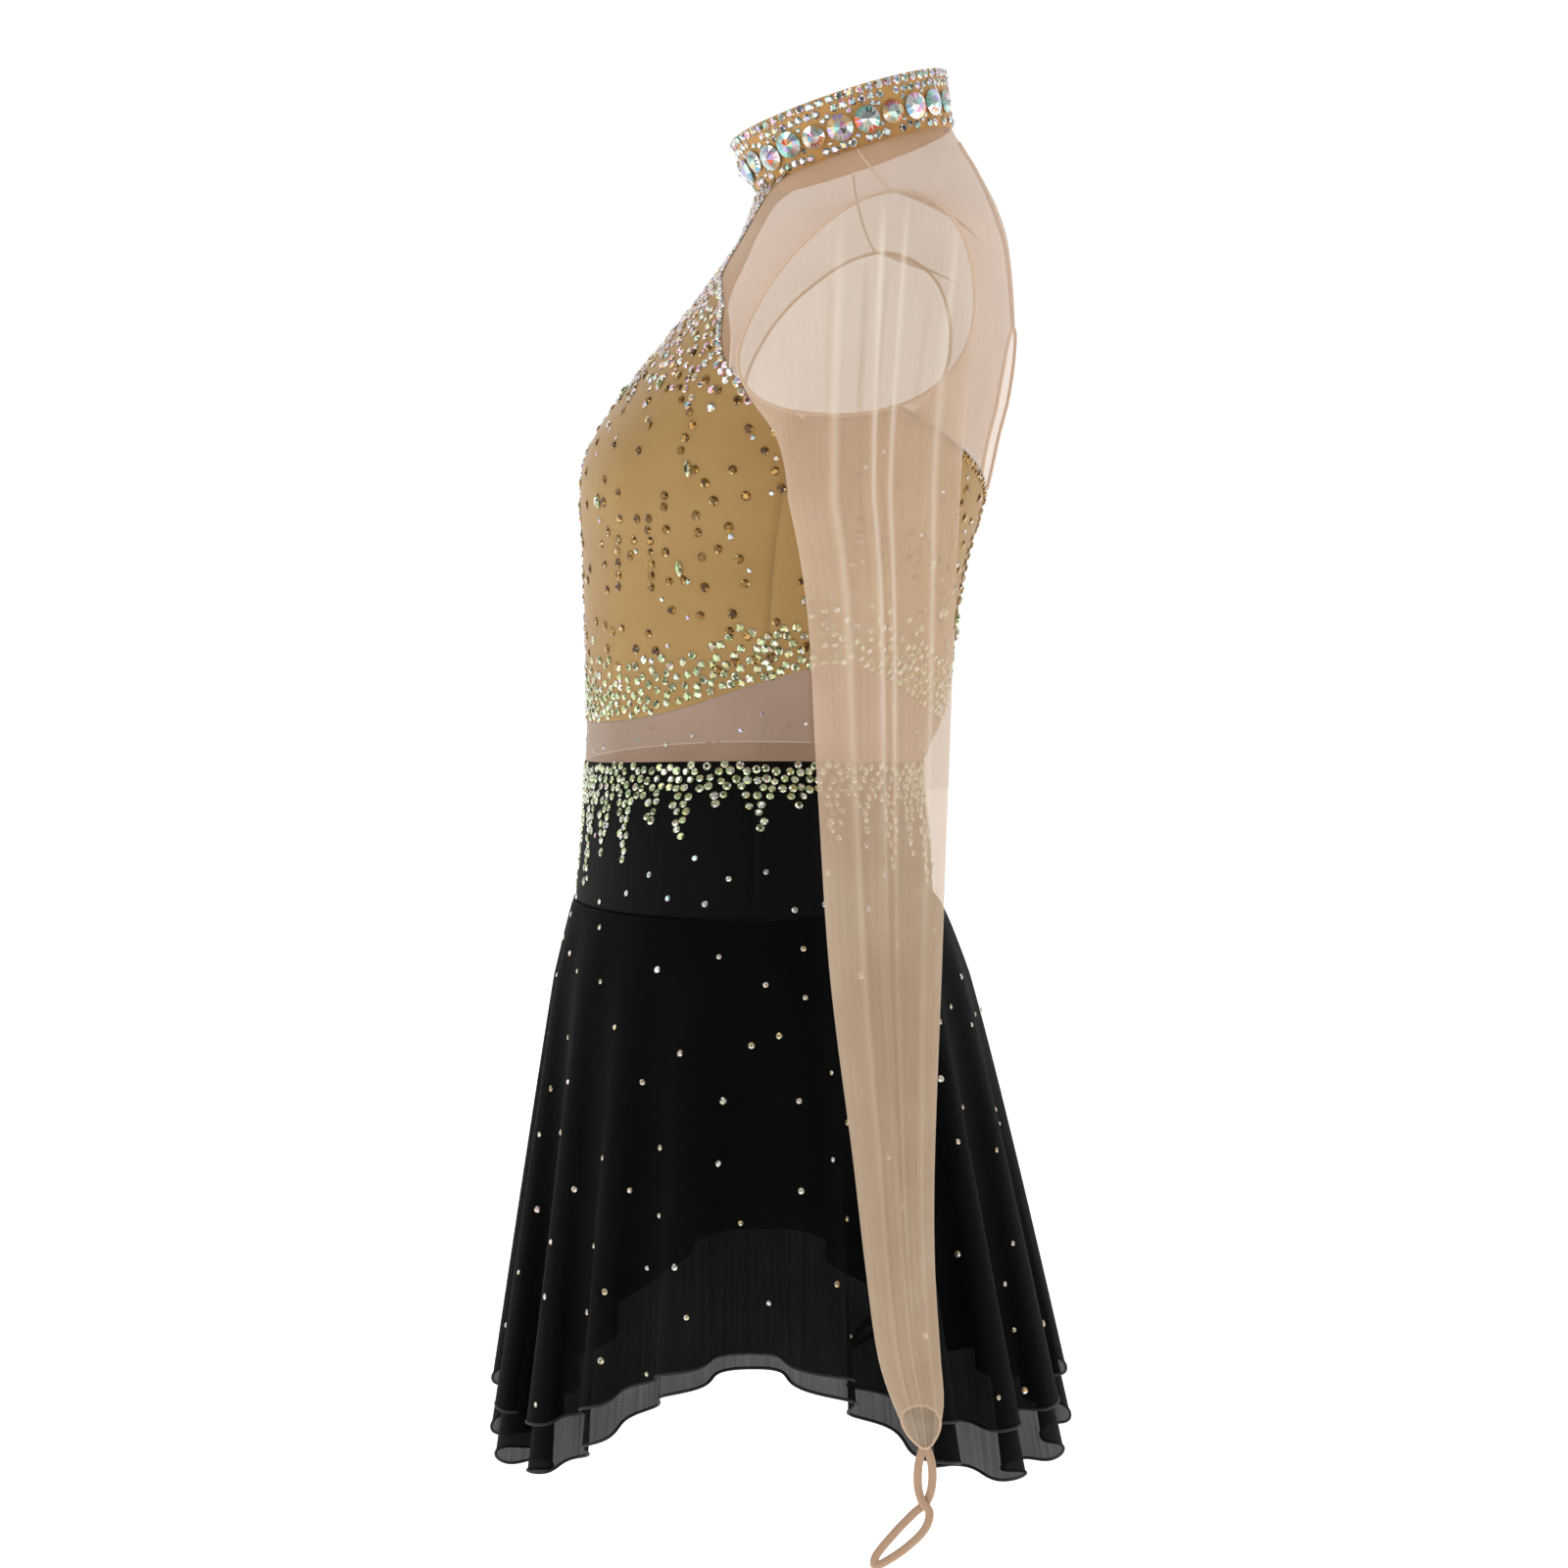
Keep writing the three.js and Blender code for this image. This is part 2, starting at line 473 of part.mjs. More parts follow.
// Round the tube, 0 is the front edge and a quarter turn is the top of the shoulder. The cap is a curve from
// the armhole edge, which leaves the body outwards, to the ring where the plain tube begins.
function sleeveSurface(side) {
  return (s, t) => {
    const turn = s * 2 * Math.PI;
    const capShare = 0.36;
    const cuffDrop = SLEEVE_DROP - CUFF_SLANT * (0.5 - 0.5 * Math.sin(turn));
    if (t > capShare) {
      const drop = THREE.MathUtils.lerp(CAP_DROP, cuffDrop, (t - capShare) / (1 - capShare));
      return mirrored(sleeveRing(turn, drop), side);
    }
    const edge = (ds, dt) =>
      bodyPoint(
        ARMHOLE.angle - ARMHOLE.wide * Math.cos(turn) + (ds - 0.5) * 4,
        ARMHOLE.height + ARMHOLE.tall * Math.sin(turn) + (dt - 0.5) * 4,
      );
    const start = edge(0.5, 0.5).addScaledVector(normalOf(edge, 0.5, 0.5), MESH_CLOTH + SEAM_GAP);
    const end = sleeveRing(turn, CAP_DROP);
    const up = Math.sin(turn);
    const leave = new THREE.Vector3(26 + 36 * Math.max(0, up), 0, -18 - 26 * Math.max(0, -up));
    const arrive = new THREE.Vector3(4, 0, -60 - 110 * Math.max(0, up));
    const u = t / capShare;
    const [u2, u3] = [u * u, u * u * u];
    const point = start
      .multiplyScalar(2 * u3 - 3 * u2 + 1)
      .addScaledVector(end, 3 * u2 - 2 * u3)
      .addScaledVector(leave, u3 - 2 * u2 + u)
      .addScaledVector(arrive, u3 - u2);
    return mirrored(point, side);
  };
}
// The two pieces meet along the sleeve's folded front and back edges: the top one is the outer half of each
// ring and the under one is the inner half, each short of the fold by half a seam gap. The right sleeve is the
// left one's mirror image.
function sleevePiece(turns) {
  const surface = sleeveSurface(1);
  return (s, t) => {
    const drop = THREE.MathUtils.lerp(CAP_DROP, SLEEVE_DROP, Math.max(0, (0.64 - t) / 0.64));
    const short = Math.pow(SEAM_GAP / 2 / smooth(SLEEVE.drop, SLEEVE.deep, drop), 1 / 0.8) / (2 * Math.PI);
    return surface(turns + THREE.MathUtils.lerp(0.5 - short, short, s), 1 - t);
  };
}
function mirrorImage(geometry) {
  const points = Array.from(geometry.getAttribute("position").array, (value, k) => (k % 3 ? value : -value));
  return facesOut(points, Array.from(geometry.index.array));
}
for (const [name, turns] of [["top", 0], ["under", 0.5]]) {
  const left = clothSolid(sleevePiece(turns), MESH_CLOTH, 14, 18);
  add(`left_${name}_sleeve`, left, nudeMesh);
  add(`right_${name}_sleeve`, mirrorImage(left), nudeMesh);
}

// ---- finger loops: one strip sewn to the cuff's point, crossed, and opened again below ----
const CUFF = new THREE.Vector3(257, 40, SHOULDER.z - SLEEVE_DROP);
const LOOP_GAP = 0.7;
const LOOP_PATH = [
  [0, -1.4, -LOOP_GAP - LOOP_CLOTH / 2],
  [0, -3.6, -0.35 * LOOP_DROP],
  [0, -3.4, -0.75 * LOOP_DROP],
  [0.5, -6, -LOOP_DROP],
  [1.5, -13, -LOOP_DROP - 0.3 * LOOP_REACH],
  [2.5, -21, -LOOP_DROP - 0.66 * LOOP_REACH],
  [3, -27, -LOOP_DROP - 0.98 * LOOP_REACH],
  [3, -21, -LOOP_DROP - LOOP_REACH],
  [2.4, -8, -LOOP_DROP - 0.8 * LOOP_REACH],
  [1.6, 3, -LOOP_DROP - 0.45 * LOOP_REACH],
  [0.6, 4.6, -0.9 * LOOP_DROP],
  [0, 3.8, -0.45 * LOOP_DROP],
  [0, 1.4, -LOOP_GAP - LOOP_CLOTH / 2],
];
function loopSolid(side) {
  const path = new THREE.CatmullRomCurve3(
    LOOP_PATH.map(([x, y, z]) => mirrored(new THREE.Vector3(CUFF.x + x, CUFF.y + y, CUFF.z + z), side)),
    true,
    "centripetal",
  );
  const surface = (s, t) => {
    const point = path.getPoint(((s % 1) + 1) % 1);
    return point.setX(point.x + (t - 0.5) * LOOP_WIDTH);
  };
  return clothSolid(surface, LOOP_CLOTH, 40, 1, { round: true, lift: LOOP_CLOTH / 2 });
}
for (const [name, side] of SIDES) add(`${name}_finger_loop`, loopSolid(side), nudeMesh);

// ---- collar: a standing band, open at the nape, with a snap flap over an underlap ----
const [NECK_FRONT, NECK_BACK] = [bodyPoint(0, NECK), bodyPoint(180, NECK)];
const NECK_MIDDLE = NECK_FRONT.clone().lerp(NECK_BACK, 0.5);
const NECK_TILT = Math.atan2(NECK_BACK.z - NECK_FRONT.z, NECK_BACK.y - NECK_FRONT.y);
const COLLAR_AXIS = new THREE.Vector3(0, -Math.sin(NECK_TILT), Math.cos(NECK_TILT));
const COLLAR_OPENS = 166;
const COLLAR_CLOSES = 190;
function collarPoint(angle, rise, lift = 0) {
  const spoke = bodyPoint(angle, NECK).sub(NECK_MIDDLE);
  const reach = spoke.length() * (1 + (COLLAR_FLARE * rise) / COLLAR_HEIGHT) + lift;
  return spoke.setLength(reach).add(NECK_MIDDLE).addScaledVector(COLLAR_AXIS, rise);
}
const COLLAR_FOOT = 0.6;
const collarPanel = (from, to, lift) => (s, t) => {
  const angle = THREE.MathUtils.lerp(from, to, s);
  const rise = THREE.MathUtils.lerp(COLLAR_FOOT, COLLAR_HEIGHT, t);
  return collarPoint(angle, rise, typeof lift === "function" ? lift(angle) : lift);
};
const bandFrom = COLLAR_CLOSES - 360;
add("collar_band", clothSolid(collarPanel(bandFrom, COLLAR_OPENS, COLLAR_WALL / 2), COLLAR_WALL, 60, 2), goldLycra);
const FLAP_GAP = 0.5;
add(
  "collar_flap",
  clothSolid(collarPanel(COLLAR_OPENS + FLAP_GAP, COLLAR_CLOSES - FLAP_GAP, COLLAR_WALL / 2), COLLAR_WALL, 6, 2),
  goldLycra,
);

// The underlap is sewn inside the band's right end and steps in behind the flap to leave room for the snaps.
const SNAP_ROOM = 3.6;
const underlapLift = (angle) => {
  const step = THREE.MathUtils.smoothstep(angle, COLLAR_CLOSES - 3, COLLAR_CLOSES + 3);
  return -COLLAR_WALL / 2 - THREE.MathUtils.lerp(SNAP_ROOM, 0.4, step);
};
const UNDERLAP_CLOTH = 1.2;
add(
  "collar_underlap",
  clothSolid(collarPanel(COLLAR_OPENS + 3, COLLAR_CLOSES + 9, underlapLift), UNDERLAP_CLOTH, 14, 2),
  goldLycra,
);

// ---- snaps: a socket under the flap takes a stud on the underlap ----
const SNAP = { radius: 4.6, socket: 1.7, bore: 2.3, base: 1.1, nub: 1.5, nubRise: 1.2, clear: 0.3 };
const SNAP_ANGLE = 180;
const SNAP_RISES = [
  ["upper", 25],
  ["lower", 9],
];
// Turns a lathed piece, whose axis is +Y, to point out of the collar at an angle.
function onCollar(geometry, angle, rise, lift) {
  const surface = (s, t) => collarPoint(angle + (s - 0.5) * 10, rise + (t - 0.5) * 10);
  const out = normalOf(surface, 0.5, 0.5);
  const turn = new THREE.Quaternion().setFromUnitVectors(new THREE.Vector3(0, 1, 0), out);
  geometry.applyQuaternion(turn);
  const seat = surface(0.5, 0.5).addScaledVector(out, lift);
  return geometry.translate(seat.x, seat.y, seat.z);
}
const lathe = (profile, sides) =>
  new THREE.LatheGeometry(
    profile.map(([x, y]) => new THREE.Vector2(x, y)),
    sides,
  );
const flapInside = -COLLAR_WALL / 2;
const underlapOutside = flapInside - SNAP_ROOM;
for (const [name, rise] of SNAP_RISES) {
  const socket = lathe(
    [
      [SNAP.bore, 0],
      [SNAP.radius, 0],
      [SNAP.radius, SNAP.socket],
      [SNAP.bore, SNAP.socket],
      [SNAP.bore, 0],
    ],
    16,
  );
  add(`${name}_snap_socket`, onCollar(socket, SNAP_ANGLE, rise, flapInside - SNAP.clear - SNAP.socket), nickel);
  const stud = lathe(
    [
      [0, 0],
      [SNAP.radius, 0],
      [SNAP.radius, SNAP.base],
      [SNAP.nub, SNAP.base],
      [SNAP.nub, SNAP.base + SNAP.nubRise],
      [0, SNAP.base + SNAP.nubRise],
    ],
    16,
  );
  add(`${name}_snap_stud`, onCollar(stud, SNAP_ANGLE, rise, underlapOutside + SNAP.clear), nickel);
}

// ---- large collar stones: round pointed-back crystals set in a row round the band ----
const STONE_RISE = 14;
const STONE_SPAN = [COLLAR_CLOSES - 360 + 9, COLLAR_OPENS - 9];
const stoneProfile = [
  [0, 0],
  [STONE_DIAMETER * 0.44, 0],
  [STONE_DIAMETER / 2, STONE_HEIGHT * 0.35],
  [STONE_DIAMETER * 0.28, STONE_HEIGHT * 0.86],
  [0, STONE_HEIGHT],
];
for (let i = 0; i < STONE_COUNT; i++) {
  const angle = THREE.MathUtils.lerp(STONE_SPAN[0], STONE_SPAN[1], i / (STONE_COUNT - 1));
  const number = String(i + 1).padStart(2, "0");
  const stone = onCollar(lathe(stoneProfile, 10), angle, STONE_RISE, COLLAR_WALL / 2 + 0.6);
  add(`collar_stone_${number}`, stone, crystal);
}

export default dress;
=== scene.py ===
"""A long-sleeved cheer and skating dress with a stoned standing collar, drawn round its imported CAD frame.

Metres, +Z up. The wearer faces -Y and the wearer's left is +X, as in the frame. Sections follow the dress as
it is sewn: the body shape it is cut for, the cloths, the bodice, the sheer yokes, the midriff and hips, the
skirt, the briefs, the sleeves, the collar, and last the stones.
"""

import bmesh
import bpy
import numpy as np
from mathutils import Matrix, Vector


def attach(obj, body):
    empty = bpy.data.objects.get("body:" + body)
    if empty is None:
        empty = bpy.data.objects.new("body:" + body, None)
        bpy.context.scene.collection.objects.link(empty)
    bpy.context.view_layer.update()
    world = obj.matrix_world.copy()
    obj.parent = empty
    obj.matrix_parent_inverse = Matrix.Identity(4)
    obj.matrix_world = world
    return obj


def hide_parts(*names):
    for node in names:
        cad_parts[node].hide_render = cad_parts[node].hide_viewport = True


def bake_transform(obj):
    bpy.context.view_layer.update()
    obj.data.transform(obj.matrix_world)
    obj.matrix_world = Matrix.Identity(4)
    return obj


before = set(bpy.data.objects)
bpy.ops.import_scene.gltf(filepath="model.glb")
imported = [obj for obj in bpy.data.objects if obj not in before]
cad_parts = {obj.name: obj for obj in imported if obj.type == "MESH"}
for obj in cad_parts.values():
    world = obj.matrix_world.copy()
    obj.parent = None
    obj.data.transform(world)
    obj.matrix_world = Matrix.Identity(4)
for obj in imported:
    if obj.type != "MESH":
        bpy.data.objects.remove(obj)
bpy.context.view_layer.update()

MM = 0.001
rng = np.random.default_rng(7)

# ------------------------------------------------------------------------------
# Studio: a pale floor, an even white surround and large soft lights, with the camera at the wearer's left.
# The dress is held at the neck and shoulders, so it hangs clear of the floor.
# ------------------------------------------------------------------------------
FLOOR_HEIGHT = -1.25
CAMERA_AT = Vector((2.0, -0.036, -0.264))
CAMERA_AIM = Vector((0.0, -0.036, -0.384))
FIELD_WIDTH = 0.96  # of the picture, at the dress's middle plane

scene = bpy.context.scene
scene.view_settings.view_transform = "Standard"

camera_data = bpy.data.cameras.new("camera")
camera_data.sensor_width = 36
camera_data.lens = 36 * (CAMERA_AIM - CAMERA_AT).length / FIELD_WIDTH
camera_data.clip_end = 100
camera = bpy.data.objects.new("camera", camera_data)
camera.location = CAMERA_AT
camera.rotation_euler = (CAMERA_AIM - CAMERA_AT).to_track_quat("-Z", "Y").to_euler()
scene.collection.objects.link(camera)
scene.camera = camera

BACKDROP = 1.06  # what the camera sees round the dress, a little over white
SURROUND = (  # how the surround lights the dress: share of the way from the wearer's right to left, level
    (0.0, BACKDROP),
    (0.42, 0.8),
    (0.7, 0.3),
)
SOFTBOXES = [  # name, place, aim, size, watts
    ("key_softbox", (1.1, -1.9, 0.7), (0, 0, -0.35), 1.1, 8),
    ("fill_softbox", (2.1, 1.5, 0.1), (0, 0, -0.4), 1.4, 3),
    ("top_softbox", (0.3, 0.2, 1.5), (0, 0, -0.3), 1.2, 5),
]
for name, place, aim, size, watts in SOFTBOXES:
    light = bpy.data.lights.new(name, "AREA")
    light.size = size
    light.energy = watts
    lamp = bpy.data.objects.new(name, light)
    lamp.location = place
    lamp.rotation_euler = (Vector(aim) - Vector(place)).to_track_quat("-Z", "Y").to_euler()
    scene.collection.objects.link(lamp)


def linear(code, alpha=1.0):
    """An sRGB hex colour as linear red, green, blue and alpha."""
    channels = np.array([int(code[k : k + 2], 16) for k in (1, 3, 5)]) / 255
    low = channels / 12.92
    high = ((channels + 0.055) / 1.055) ** 2.4
    return (*np.where(channels <= 0.04045, low, high).tolist(), alpha)


def add_node(tree, kind, inputs=None, **settings):
    """Add a node to a tree, with its settings, and with inputs that are values or other nodes' outputs."""
    made = tree.nodes.new(kind)
    for key, value in settings.items():
        setattr(made, key, value)
    for key, value in (inputs or {}).items():
        if isinstance(value, bpy.types.NodeSocket):
            tree.links.new(value, made.inputs[key])
        else:
            made.inputs[key].default_value = value
    return made


def new_material(name, **surface):
    """A material whose one Principled surface has its sockets set by name; also its tree and surface."""
    material = bpy.data.materials.new(name)
    material.use_nodes = True
    tree = material.node_tree
    principled = tree.nodes["Principled BSDF"]
    for key, value in surface.items():
        principled.inputs[key.replace("_", " ")].default_value = value
    return material, tree, principled


world = bpy.data.worlds.new("white_surround")
world.use_nodes = True
sky = world.node_tree
towards = add_node(sky, "ShaderNodeTexCoord").outputs["Generated"]
sideways = add_node(sky, "ShaderNodeSeparateXYZ", {"Vector": towards}).outputs["X"]
share = add_node(sky, "ShaderNodeMapRange", {"Value": sideways, "From Min": -1.0, "From Max": 1.0})
bright = add_node(sky, "ShaderNodeValToRGB", {"Fac": share.outputs["Result"]})
for k, (place, level) in enumerate(SURROUND):
    stop = bright.color_ramp.elements[k] if k < 2 else bright.color_ramp.elements.new(place)
    stop.position, stop.color = place, (level, level, level, 1)
seen = add_node(sky, "ShaderNodeLightPath").outputs["Is Camera Ray"]
backdrop = add_node(
    sky, "ShaderNodeMix", {0: seen, 6: bright.outputs["Color"], 7: (BACKDROP, BACKDROP, BACKDROP, 1)},
    data_type="RGBA",
)  # fmt: skip
sky.links.new(backdrop.outputs[2], sky.nodes["Background"].inputs["Color"])
scene.world = world

# The floor is matt white paper, lit by the surround until it meets it without an edge.
floor_paper, _, _ = new_material(
    "white_paper", Base_Color=linear("#f4f4f4"), Roughness=0.9, Emission_Color=(1, 1, 1, 1),
    Emission_Strength=0.75,
)  # fmt: skip
FLOOR_REACH = 14.0
FLOOR_CORNERS = ((-1, -1), (1, -1), (1, 1), (-1, 1))
floor_corners = [(x * FLOOR_REACH, y * FLOOR_REACH, FLOOR_HEIGHT) for x, y in FLOOR_CORNERS]
floor_mesh = bpy.data.meshes.new("floor")
floor_mesh.from_pydata(floor_corners, [], [(0, 1, 2, 3)])
floor_mesh.materials.append(floor_paper)
floor = bpy.data.objects.new("floor", floor_mesh)
scene.collection.objects.link(floor)

# ------------------------------------------------------------------------------
# The body the dress is cut for: rings from the hip seam up to the neck, a small adult's. Each is a squared
# ellipse, and they tip forward step by step to the slope of the neck. Sizes in millimetres.
# ------------------------------------------------------------------------------
RING_FRONT = np.array([
    (-163, -451), (-159, -410), (-157, -371), (-156, -344), (-156, -314), (-157, -284), (-158, -240),
    (-159, -202), (-153, -178), (-132, -146), (-99, -106), (-77, -78), (-64, -59), (-59, -47), (-56, -38),
    (-54, -31), (-51, -25),
])  # fmt: skip
RING_BACK = np.array([
    (55, -451), (52, -410), (49, -371), (60, -344), (66, -314), (69, -284), (77, -240), (90, -200),
    (96, -177), (102, -149), (103, -108), (99, -62), (93, -41), (86, -24), (79, -10), (72, 1), (65, 13),
])  # fmt: skip
RING_HALF = np.array([165, 148, 125, 124, 128, 134, 142, 148, 151, 157, 166, 172, 171, 146, 116, 88, 57])
RING_SQUARE = np.array([2.2] * 7 + [2.3] * 5 + [2.2, 2, 1.85, 1.85, 2])
RING_HEIGHT = (RING_FRONT[:, 1] + RING_BACK[:, 1]) / 2
HIP, NECK = RING_HEIGHT[0], RING_HEIGHT[-1]


def through(xs, ys, x):
    """A smooth curve through points: on each span a cubic whose end slopes are those of the chords between
    each point's two neighbours."""
    xs, ys, x = np.asarray(xs, float), np.asarray(ys, float), np.asarray(x, float)
    low = np.maximum(np.arange(len(xs)) - 1, 0)
    high = np.minimum(np.arange(len(xs)) + 1, len(xs) - 1)
    slope = (ys[high] - ys[low]) / (xs[high] - xs[low])
    i = np.clip(np.searchsorted(xs, x, side="left") - 1, 0, len(xs) - 2)
    width = xs[i + 1] - xs[i]
    t = np.clip((x - xs[i]) / width, 0, 1)
    return (
        ys[i] * (2 * t**3 - 3 * t**2 + 1)
        + ys[i + 1] * (3 * t**2 - 2 * t**3)
        + width * (slope[i] * (t**3 - 2 * t**2 + t) + slope[i + 1] * (t**3 - t**2))
    )


def bent(value, power):
    """A value raised to a power with its sign kept."""
    return np.sign(value) * np.abs(value) ** power


def body(angle, height):
    """The body's skin at an angle in degrees (0 front, 90 the left side, 180 back) and a ring height. Half
    the depth times the bent cosine goes forward and the half width times the bent sine goes sideways."""
    angle, height = np.broadcast_arrays(np.asarray(angle, float), np.asarray(height, float))
    front_y, front_z = (through(RING_HEIGHT, RING_FRONT[:, k], height) for k in (0, 1))
    back_y, back_z = (through(RING_HEIGHT, RING_BACK[:, k], height) for k in (0, 1))
    power = 2 / through(RING_HEIGHT, RING_SQUARE, height)
    forward = bent(np.cos(np.radians(angle)), power)
    x = through(RING_HEIGHT, RING_HALF, height) * bent(np.sin(np.radians(angle)), power)
    y = (front_y + back_y) / 2 - forward * (back_y - front_y) / 2
    z = (front_z + back_z) / 2 - forward * (back_z - front_z) / 2
    return np.stack([x, y, z], -1)


def outward(surface, s, t):
    """The unit normal of surface(s, t): the cross product of the steps along s and along t, where s runs to
    the right and t runs up as seen from outside."""
    step = 1e-3
    along_s = surface(s + step, t) - surface(s - step, t)
    low, high = np.clip(t - step, 0, 1), np.clip(t + step, 0, 1)
    normal = np.cross(along_s, surface(s, high) - surface(s, low))
    return normal / np.linalg.norm(normal, axis=-1, keepdims=True)


def mix(a, b, share):
    """The value a share of the way from a to b."""
    return a + (b - a) * share


def ease(value):
    """0 below 0, 1 above 1, and a smooth step between."""
    value = np.clip(value, 0, 1)
    return value * value * (3 - 2 * value)


def grid(across, up):
    """Two arrays of shares from 0 to 1, with rows going up and columns across."""
    return np.meshgrid(np.linspace(0, 1, across + 1), np.linspace(0, 1, up + 1))


def new_piece(name, mesh, material, body_name):
    """An object of this mesh and material, riding a body if it is given one."""
    mesh.materials.append(material)
    piece = bpy.data.objects.new(name, mesh)
    scene.collection.objects.link(piece)
    if body_name:
        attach(piece, body_name)
    return piece


def cloth_piece(name, points, material, round_=False, body_name="dress", wall=0.0):
    """A sheet of cloth from a grid of points in millimetres, rows up and columns across. Its UV map is the
    length along the cloth in metres, so a weave keeps its size. A wall, in millimetres, makes it solid."""
    points = points * MM
    if round_:
        points = points[:, :-1]
    rows, columns = points.shape[:2]
    j, i = np.meshgrid(np.arange(rows - 1), np.arange(columns if round_ else columns - 1), indexing="ij")
    lower, upper, right = j * columns, (j + 1) * columns, (i + 1) % columns
    faces = np.stack([lower + i, lower + right, upper + right, upper + i], -1)
    mesh = bpy.data.meshes.new(name)
    mesh.from_pydata(points.reshape(-1, 3).tolist(), [], faces.reshape(-1, 4).tolist())
    wrapped = np.concatenate([points, points[:, :1]], 1) if round_ else points
    u = np.concatenate([[0], np.cumsum(np.linalg.norm(np.diff(wrapped, axis=1), axis=-1).mean(0))])
    v = np.concatenate([[0], np.cumsum(np.linalg.norm(np.diff(points, axis=0), axis=-1).mean(1))])
    corners = np.stack([np.stack([u[i], v[j]], -1), np.stack([u[i + 1], v[j]], -1),
                        np.stack([u[i + 1], v[j + 1]], -1), np.stack([u[i], v[j + 1]], -1)], 2)  # fmt: skip
    mesh.uv_layers.new(name="cloth").data.foreach_set("uv", corners.reshape(-1).astype(np.float32))
    mesh.shade_smooth()
    piece = new_piece(name, mesh, material, body_name)
    if wall:
        solid = piece.modifiers.new("cloth thickness", "SOLIDIFY")
        solid.thickness = wall * MM
        solid.offset = -1
    return piece


SEAM_SIDES = 8


def seam_piece(name, line, normals, radius, material, closed=False, slot=None, body_name="dress", flat=1.0):
    """A cord of stitching or a rolled edge: rings of a radius round a line of points in millimetres, each
    ring in the plane of the line's normal and the cross product of that with its direction."""
    line = np.asarray(line, float)
    if closed:
        line, normals = line[:-1], normals[:-1]
        along = np.roll(line, -1, 0) - np.roll(line, 1, 0)
    else:
        along = np.gradient(line, axis=0)
    along /= np.linalg.norm(along, axis=1, keepdims=True)
    side = np.cross(along, normals)
    side /= np.linalg.norm(side, axis=1, keepdims=True)
    out = np.cross(side, along)
    turn = np.linspace(0, 2 * np.pi, SEAM_SIDES, endpoint=False)[:, None, None]
    rings = line + radius * (np.cos(turn) * out * flat + np.sin(turn) * side)
    points = rings.transpose(1, 0, 2) * MM
    count = len(line)
    j, i = np.meshgrid(np.arange(count if closed else count - 1), np.arange(SEAM_SIDES), indexing="ij")
    here, after, beside = j * SEAM_SIDES, (j + 1) % count * SEAM_SIDES, (i + 1) % SEAM_SIDES
    faces = np.stack([here + i, here + beside, after + beside, after + i], -1).reshape(-1, 4).tolist()
    if not closed:
        ring = list(range(SEAM_SIDES))
        faces += [ring[::-1], [(count - 1) * SEAM_SIDES + k for k in ring]]
    mesh = bpy.data.meshes.new(name)
    mesh.from_pydata(points.reshape(-1, 3).tolist(), [], faces)
    mesh.shade_smooth()
    return new_piece(name, mesh, material, body_name)


# ------------------------------------------------------------------------------
# Cloths. The gold and black cloths are warp-knitted nylon and elastane, whose fine wales run up the cloth;
# the sheer ones are powernet, whose threads show as faint upright streaks where it is stretched: closest on
# the midriff, where it hardly stretches, and most open on the empty sleeves.
# ------------------------------------------------------------------------------
WALE = 1.1  # millimetres apart: drawn coarser than the real 0.3, so that they show
NET = 1.5  # the powernet's holes, drawn coarser than the real 0.6 ones
FOLD_COVER = 0.32


def knit_cloth(name, colour, shade, roughness, sheen):
    """Opaque stretch knit: wales are a sine across the cloth, with slow noise between two close colours where
    the pile lies differently."""
    material, tree, surface = new_material(
        name, Roughness=roughness, Sheen_Weight=sheen, Sheen_Roughness=0.4, IOR=1.5, Specular_IOR_Level=0.15
    )
    uv = add_node(tree, "ShaderNodeUVMap", uv_map="cloth").outputs["UV"]
    slow = add_node(tree, "ShaderNodeTexNoise", {"Vector": uv, "Scale": 22.0, "Detail": 3.0})
    ramp = add_node(tree, "ShaderNodeValToRGB", {"Fac": slow.outputs["Fac"]})
    ramp.color_ramp.elements[0].position, ramp.color_ramp.elements[0].color = 0.3, linear(shade)
    ramp.color_ramp.elements[1].position, ramp.color_ramp.elements[1].color = 0.7, linear(colour)
    tree.links.new(ramp.outputs["Color"], surface.inputs["Base Color"])
    bands = {"Vector": uv, "Scale": 1 / (WALE * MM) / 20, "Distortion": 0.6, "Detail": 1.0}
    wales = add_node(tree, "ShaderNodeTexWave", bands, wave_type="BANDS", bands_direction="X")
    raised = {"Height": wales.outputs["Fac"], "Strength": 0.12, "Distance": 0.0003}
    tree.links.new(add_node(tree, "ShaderNodeBump", raised).outputs["Normal"], surface.inputs["Normal"])
    return material


